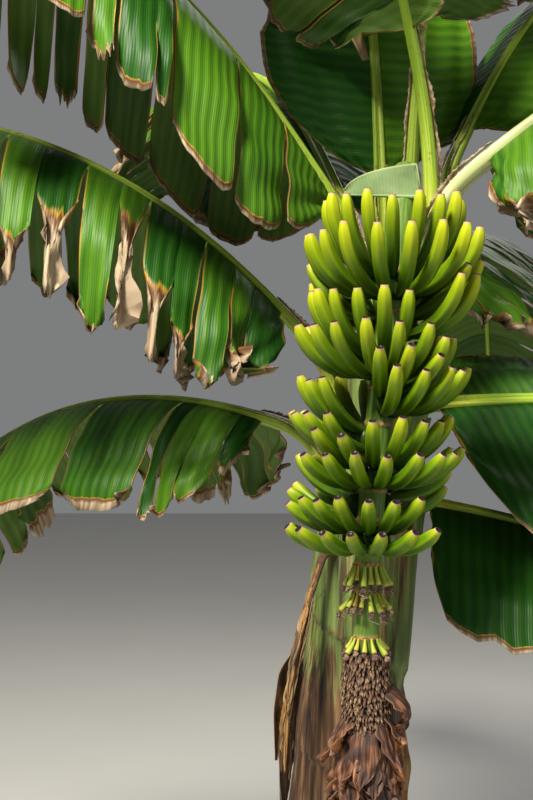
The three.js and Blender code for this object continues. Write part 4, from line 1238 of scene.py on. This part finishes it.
def sleeve_finish():
    """Nearly black at the roots, as painted shade between the stubs, and dark brown along the flower, with
    tan in streaks that gather at its end."""
    f = Finish("dried_flower", 0.85)
    grain = f.noise(330.0)
    tan = f.ramp(f.mark("luck"), [(0.0, (0.10, 0.055, 0.03)), (0.5, (0.25, 0.150, 0.08)),
                                  (1.0, (0.50, 0.35, 0.20))])
    share = f.plus(f.mark("share"), f.past(grain, 0.3, 1.1))
    body = f.ramp(share, [(0.25, (0.012, 0.007, 0.006)), (0.9, (0.095, 0.050, 0.034))])
    tip = f.past(share, 0.78, 2.6)
    return f.done(f.blend(tip, body, tan), f.relief(grain, 0.6, 0.0012))


piece("flower_sleeve", joined([sleeve_core(), sleeve_stubs()]), sleeve_finish(), "dried_flowers",
      "dried_flower_sleeve")


# Bracts that once covered the flowers hang dry and papery in overlapping tiers down to the bud, rust brown
# with dark streaks and curled edges. A few stand away from the rest, and one hangs out of the dead flowers
# above.
BRACT_TOP = 0.918
BRACT_BOTTOM = 0.716
BRACT_TIERS = 9
BRACTS_EACH = 7
BRACT_RADIUS = 0.042
BRACT_LENGTH = 0.080
BRACT_HALF = 0.0225
BRACT_ROWS = 15
BRACT_COLUMNS = 23
BRACT_FALLS = (0.7, 1.15)
BRACT_RISE = 0.017
LOOSE_REACH = 0.022
STRAY_REACH = 0.016
COLUMN_RINGS = 40
COLUMN_SIDES = 32
STRAY_TIER = -1.6
STRAY_PLACE = -0.45
BRACT_SCATTER = 0.022
BRACT_PEAK = 2.3
BRACT_THINNEST = 0.0015
BRACT_SKEW = 0.008
BRACT_INSET = 0.012
BRACT_LIFT = 0.006
STRAY_START = 0.004
CREASE_HEIGHT = 0.0060
EDGE_CURL = 0.020
TIP_CURL = 0.024
COLUMN_INSET = 0.004
COLUMN_WAVE = 0.001

# The wrinkles of a bract: height, turns across and down, how far chance shifts them, and by which draw.
BRACT_WAVES = [(0.0040, 3.1, 0, 6, 0), (0.0022, 9, 4, 9, 5), (0.0013, 23, 5, 0, 0), (0.0025, 4, 17, 9, 7)]


def bract_sheets():
    """Papery bracts: a runs across from -1 to 1 and t down from 0 to 1.

    A bract is egg-shaped with a point, its half width a power of t times a power of what is left. It wraps
    round the stalk, rises out by a sine of t so that it lies on the tier below, leans aside, is wrinkled by
    sines of a and t and creased by the size of another, and curls by a power of a and at its tip. The loose
    ones stand away by the square of t, and a stray one does so out of the sleeve of dead flowers."""
    tier, place = np.meshgrid(np.arange(BRACT_TIERS), np.arange(BRACTS_EACH), indexing="ij")
    tier, place = np.append(tier, STRAY_TIER), np.append(place, STRAY_PLACE)
    stray = (tier < 0)[:, None, None]
    count = len(tier)
    dice = chance(2300 + 1.7 * np.arange(8 * count)).reshape(8, count, 1, 1)
    a = np.linspace(-1, 1, BRACT_ROWS)[None, :, None]
    t = np.linspace(0, 1, BRACT_COLUMNS)[None, None, :]
    top = mix(BRACT_TOP, BRACT_BOTTOM, tier / (BRACT_TIERS - 1))[:, None, None]
    top = top + BRACT_SCATTER * (dice[0] - 0.5)
    length = BRACT_LENGTH * mix(*BRACT_FALLS, dice[1])
    loose = np.where(stray, 0.0, smooth((dice[2] - 0.78) / 0.1))
    facing = 2 * np.pi * ((place + 0.5 * (tier % 2))[:, None, None] + 0.7 * (dice[3] - 0.5)) / BRACTS_EACH
    half = BRACT_HALF * BRACT_PEAK * t ** 0.25 * np.maximum(0.0, 1 - t) ** mix(0.6, 1.0, dice[6])
    half = half * mix(0.85, 1.25, dice[4]) * (1 + 0.10 * np.sin(19 * t + 9 * dice[5] + 2 * a))
    half = np.maximum(half, BRACT_THINNEST)
    z = top - length * t * (1 - 0.08 * a * a) + BRACT_SKEW * a * np.sin(3 * t + 6 * dice[5])
    middle, _ = stalk_at(z)
    out = BRACT_RADIUS - BRACT_INSET + BRACT_RISE * np.sin(np.pi / 2 * np.minimum(1, 1.5 * t) ** 0.8)
    out = out + stray * (STRAY_START + STRAY_REACH * np.sin(np.pi * t)) + loose * LOOSE_REACH * t ** 2
    for height, across, down, shift, draw in BRACT_WAVES:
        out = out + height * np.sin(across * a + down * t + shift * dice[draw]) * t
    crease = np.abs(np.sin(5.3 * a + 2.6 * t * (dice[3] - 0.5) + 6 * dice[4]))
    out = out + (BRACT_LIFT * dice[6] + CREASE_HEIGHT * (0.6 - crease)) * t
    out = out + EDGE_CURL * (dice[5] - 0.4) * np.abs(a) ** 3 * t
    out = out + TIP_CURL * smooth((t - 0.65) / 0.35) * (dice[1] - 0.35)
    angle = facing + (a * half + BRACT_SCATTER * (dice[7] - 0.5) * t) / (BRACT_RADIUS + 0.010)
    points = middle + direction(angle) * out[..., None]
    rim = np.maximum(np.abs(a) ** 10, smooth((t - 0.96) / 0.04))
    # Painted shade: dark in the creases and at the top of each bract, where the tier above covers it.
    fold = (crease ** 3 + 0.5 * (1 - smooth(t / 0.3))) * (1 - 0.4 * t)
    marks = {"rim": rim, "luck": dice[4], "fold": fold}
    return sheet_part(points, PAPER, 1.0, marks, pair(a * half + 0.2 * dice[6], t * length))


def bract_finish():
    """Rust brown to a dark grey-brown, streaked lengthwise, with painted shade in the folds and at each
    bract's top under the tier above, orange on the inner face, with thin paler edges."""
    f = Finish("dry_bract", 0.62)
    streak = f.drawn((190, 14, 1), 5.0, "UV")
    cloud = f.noise(30.0, detail=4.0)
    warm = f.ramp(streak, [(0.36, (0.028, 0.011, 0.007)), (0.5, (0.120, 0.050, 0.026)),
                           (0.62, (0.330, 0.150, 0.075))])
    grey = f.ramp(streak, [(0.36, (0.009, 0.006, 0.007)), (0.62, (0.085, 0.046, 0.040))])
    share = f.past(cloud, 0.47, 6.0)
    share = f.plus(share, f.past(f.mark("luck"), 0.55, 1.6))
    colour = f.blend(f.times(share, 0.85), warm, grey)
    # Painted shade in the folds and under the tier above.
    colour = f.blend(f.times(f.mark("fold"), f.times(streak, 1.1)), colour, (0.012, 0.006, 0.006))
    colour = f.blend(f.mark("under", 0.45), colour, (0.42, 0.15, 0.035))
    colour = f.blend(f.mark("rim", 0.35), colour, (0.26, 0.15, 0.10))
    return f.done(colour, f.relief(streak, 0.8, 0.003), 0.05)


def bract_core():
    """What the bracts cover: a dark column round the stalk that narrows at both ends."""
    t = np.linspace(0, 1, COLUMN_RINGS)[:, None]
    angle = circle(COLUMN_SIDES)[None, :]
    radius = (BRACT_RADIUS - COLUMN_INSET) * np.sqrt(np.maximum(0.1, 1 - (2 * t - 1) ** 8))
    radius = radius + COLUMN_WAVE * np.sin(7 * angle)
    middle, _ = stalk_at(np.linspace(BRACT_TOP, BRACT_BOTTOM - 0.05, COLUMN_RINGS))
    return rod_part(middle, EAST, -NORTH, radius, {"luck": 0.9})


bract = bract_finish()
piece("papery_bracts", joined([bract_core(), bract_sheets()]), bract, "dried_bracts", "dried_bracts")


# The male bud ends the stalk: waxy bracts wrapped in a drop, purple with a grey bloom, each a low step on the
# next.
BUD_TOP = 0.674
BUD_LENGTH = 0.168
BUD_RADIUS = 0.043
BUD_BRACTS = 6
BUD_STEP = 0.0032
BUD_RINGS = 110
BUD_SIDES = 80
BUD_TIP = 0.0015
BUD_INSET = 0.001


def bud_part():
    """The bud: rings whose radius is a power of a sine down its length, with the edges of its wrapped bracts
    as low steps that run down it on a slant."""
    t = np.linspace(0, 1, BUD_RINGS)[:, None]
    angle = circle(BUD_SIDES)[None, :]
    drop = BUD_RADIUS * np.sin(np.pi * mix(0.16, 1, t) ** 1.25) ** 0.8
    step = edge = 0 * t * angle
    for i in range(BUD_BRACTS):
        away = (angle - 1.9 * i - mix(0.7, 1.3, chance(2600 + i)) * t) % (2 * np.pi)
        shown = smooth((t - 0.12 * i + 0.1) / 0.05)
        step = np.maximum(step, shown * BUD_STEP * np.exp(-away / 0.7))
        edge = np.maximum(edge, shown * np.exp(-away / 0.08))
    radius = np.maximum(BUD_TIP, drop + step * np.minimum(1, drop / 0.02) - BUD_INSET)
    point, _ = stalk_at(BUD_TOP)
    middle = point - UP * (BUD_LENGTH * t)
    return rod_part(middle, EAST, -NORTH, radius, {"edge": edge}, pair(0.05 * angle, BUD_LENGTH * t))


def bud_finish():
    """Purple-maroon with a grey waxy bloom in streaks, paler along the bracts' edges."""
    f = Finish("bud_bract", 0.5)
    streak = f.drawn((160, 12, 1), 3.0, "UV")
    purple = f.ramp(streak, [(0.3, (0.075, 0.018, 0.030)), (0.6, (0.16, 0.045, 0.060)),
                             (0.8, (0.25, 0.12, 0.14))])
    colour = f.blend(f.mark("edge", 0.5), purple, (0.40, 0.20, 0.14))
    return f.done(colour, f.relief(streak, 0.3, 0.001))


piece("closed_bud", bud_part(), bud_finish(), "bud", "male_bud")


# The flag leaf is the last one before the flower: small, smooth and pale. Folded up, it shows one half, which
# stands on the front of the fruit stalk.
FLAG_LEAF = dict(foot=(0.155, -0.338, 1.746), start=0, heading=184, rise=2, tip=0, length=0.132, stalk=0.008,
                 width=0.060, hang=6, strip=0.062, roll=80, shoulder=0.03, narrows=-0.7)
FLAG_THICKNESS = 0.0015
FLAG_ROWS = 40
FLAG_COLUMNS = 14
FLAG_WAVES = (0.0015, 0.003)


def flag_part(leaf):
    """The half of the flag leaf that shows, as a whole blade by the leaves' rule, and its thin rib."""
    lay_rib(leaf, 1300)
    s = np.linspace(0, 1, FLAG_ROWS)[None, :, None]
    v = np.linspace(0, 1, FLAG_COLUMNS)[None, None, :]
    along = mix(leaf["stalk"], leaf["length"], s) + 0 * v
    points = blade_points(leaf, along, v, np.ones(1), leaf["hang"])
    wave = FLAG_WAVES[0] * v * np.sin(7 * s + 3 * v) + FLAG_WAVES[1] * v * (1 - s)
    points = points + normals(points) * wave[..., None]
    marks = {"rim": smooth((v - 0.95) / 0.05)}
    sheet = sheet_part(points, FLAG_THICKNESS, marks=marks, uv=pair(along, v * leaf["width"]))
    return joined([sheet, leaf_rib(leaf)])


def flag_finish():
    """Pale grey-green with a bloom, faintly veined, brown along the thin edge."""
    f = Finish("flag_leaf", 0.5)
    veins = f.bands(60.0, 0.6)
    cloud = f.noise(30.0)
    pale = f.ramp(cloud, [(0.35, (0.20, 0.31, 0.12)), (0.7, (0.34, 0.45, 0.21))])
    colour = f.blend(f.times(veins, 0.15), pale, (0.44, 0.54, 0.30))
    colour = f.blend(f.mark("rim", 0.5), colour, (0.30, 0.20, 0.08))
    return f.done(colour, f.relief(veins, 0.2, 0.0006), 0.2)


piece("pale_flag_leaf", flag_part(FLAG_LEAF), flag_finish(), "flag_leaf", "flag_leaf")


# Dead leaves hang down the stem by their stalks: the blade has folded shut along the rib, shrunk and
# crumpled.
DEAD_LEAVES = [
    dict(root=1.120, heading=225, rise=-64, tip=-88, length=0.44, stalk=0.076, width=0.024, strip=0.09),
    dict(root=1.010, heading=72, rise=-58, tip=-88, length=0.70, stalk=0.120, width=0.052, strip=0.09),
    dict(root=1.030, heading=112, rise=-56, tip=-88, length=0.74, stalk=0.130, width=0.058, strip=0.09),
]
DEAD_TWIST = 50
DEAD_STRIPS = 9
DEAD_ROWS = 56
DEAD_COLUMNS = 11
DEAD_RIB = 0.12
DEAD_WRINKLE = 0.0018


def dead_part(leaf, seed):
    """A dead leaf: strips of dry blade that hang along the rib they grew from, and the rib itself.

    Each strip starts at its own place down the rib and hangs along it, set off from it to one side. It is
    broad in the middle by a sine and narrow at both ends, twists by its own sine, rolls up at its edges by
    the square of v, and is crumpled by sines."""
    lay_rib(leaf, seed)
    down = np.linspace(0.0, 1, DEAD_ROWS)[None, :, None]
    v = np.linspace(-1, 1, DEAD_COLUMNS)[None, None, :]
    number = np.arange(DEAD_STRIPS)[:, None, None]
    dice = chance(seed + 7 * number + 1.9 * np.arange(5)[:, None, None, None])
    first = leaf["stalk"] / leaf["length"] * 0.7 + 0.45 * number / DEAD_STRIPS
    along = leaf["length"] * mix(first, np.minimum(1, first + mix(0.34, 0.6, dice[0])), down) + 0 * v
    place, forward, side, up = rib_frame(leaf, along)
    half = leaf["width"] * mix(0.28, 0.55, dice[1]) * (0.12 + 0.88 * np.sin(np.pi * down ** 0.8)) + 0 * v
    twist = np.radians(DEAD_TWIST) * np.sin(3 * along / leaf["length"])
    twist = (twist + mix(-1.3, 1.3, dice[2]) * (0.4 + down))[..., None]
    across = side * np.cos(twist) + up * np.sin(twist)
    over = np.cross(forward, across)
    roll = mix(-0.9, 0.9, dice[3]) * v * v + 0.12 * np.sin(6 * v + 11 * down + 6 * dice[1])
    lift = half * roll + DEAD_WRINKLE * np.sin(23 * down + 7 * v + 9 * dice[4])
    aside = leaf["width"] * 0.55 * (dice[4] - 0.5) * smooth(3 * down)
    points = place + across * (half * v * (1 - 0.3 * v * v))[..., None] + over * lift[..., None]
    points = points + (side * 1.5 + up * np.cos(5 * number)[..., None]) * aside[..., None]
    marks = {"luck": dice[2], "rim": np.abs(v) ** 8}
    blades = sheet_part(points, PAPER, marks=marks, uv=pair(v * half + 0.3 * dice[4], along))
    rod = leaf_rib(dict(leaf, width=DEAD_RIB))
    rod["marks"] = {"luck": np.full(len(rod["points"]), 0.25)}
    return joined([blades, rod])


def dead_finish():
    """Dry leaf, from nearly black to straw, some strips orange, streaked along, with pale frayed edges."""
    f = Finish("dead_blade", 0.8)
    streak = f.drawn((170, 8, 1), 4.0, "UV")
    cloud = f.noise(16.0)
    dark = f.ramp(streak, [(0.3, (0.026, 0.014, 0.009)), (0.7, (0.120, 0.062, 0.030))])
    straw = f.ramp(streak, [(0.3, (0.180, 0.070, 0.014)), (0.5, (0.400, 0.190, 0.045)),
                            (0.7, (0.560, 0.380, 0.160))])
    share = f.past(f.plus(cloud, f.mark("luck")), 0.80, 3.0)
    colour = f.blend(share, dark, straw)
    colour = f.blend(f.mark("rim", 0.35), colour, (0.46, 0.33, 0.19))
    return f.done(colour, f.relief(streak, 0.6, 0.002), 0.15)


dead = dead_finish()
for number, leaf in enumerate(DEAD_LEAVES, 1):
    part = dead_part(leaf, 1300 + 100 * number)
    piece("dry_leaf_%d" % number, part, dead, "dead_leaf", "dead_leaf_%d" % number)


# The studio: a wide pale floor, a warm soft key from the upper left in front, a weak fill from the right, a
# soft light from behind, and an even pale sky.
FLOOR_HALF = 14.0
FLOOR_LEVEL = -0.0005
AIM = np.array([0.07, -0.3, 1.35])

floor_mesh = bpy.data.meshes.new("floor")
corners = [(x * FLOOR_HALF, y * FLOOR_HALF, FLOOR_LEVEL) for x, y in ((-1, -1), (1, -1), (1, 1), (-1, 1))]
floor_mesh.from_pydata(corners, [], [(0, 1, 2, 3)])
floor = bpy.data.objects.new("floor", floor_mesh)
bpy.context.scene.collection.objects.link(floor)
paper = Finish("pale_floor", 0.8)
pale = paper.ramp(paper.noise(2.0), [(0, (0.50, 0.495, 0.48)), (1, (0.54, 0.535, 0.52))])
floor_mesh.materials.append(paper.done(pale))


def soft_light(name, place, size, power, colour):
    """A square area light that looks at the middle of the bunch."""
    light = bpy.data.lights.new(name, "AREA")
    light.size = size
    light.energy = power
    light.color = colour
    lamp = bpy.data.objects.new(name, light)
    lamp.location = place
    back = unit(np.array(place) - AIM)
    lamp.rotation_euler = (np.arccos(back[2]), 0.0, np.arctan2(back[0], -back[1]))
    bpy.context.scene.collection.objects.link(lamp)


soft_light("key", (-1.7, -2.8, 5.1), 0.9, 680.0, (1.0, 0.95, 0.82))
soft_light("fill", (3.2, -2.6, 2.0), 2.6, 30.0, (0.92, 0.96, 1.0))
soft_light("back", (1.4, 3.2, 4.2), 2.2, 60.0, (1.0, 0.98, 0.92))

world = bpy.data.worlds.new("studio")
world.use_nodes = True
world.node_tree.nodes["Background"].inputs["Color"].default_value = (0.86, 0.87, 0.88, 1.0)
world.node_tree.nodes["Background"].inputs["Strength"].default_value = 0.24
bpy.context.scene.world = world
bpy.context.scene.view_settings.view_transform = "Standard"
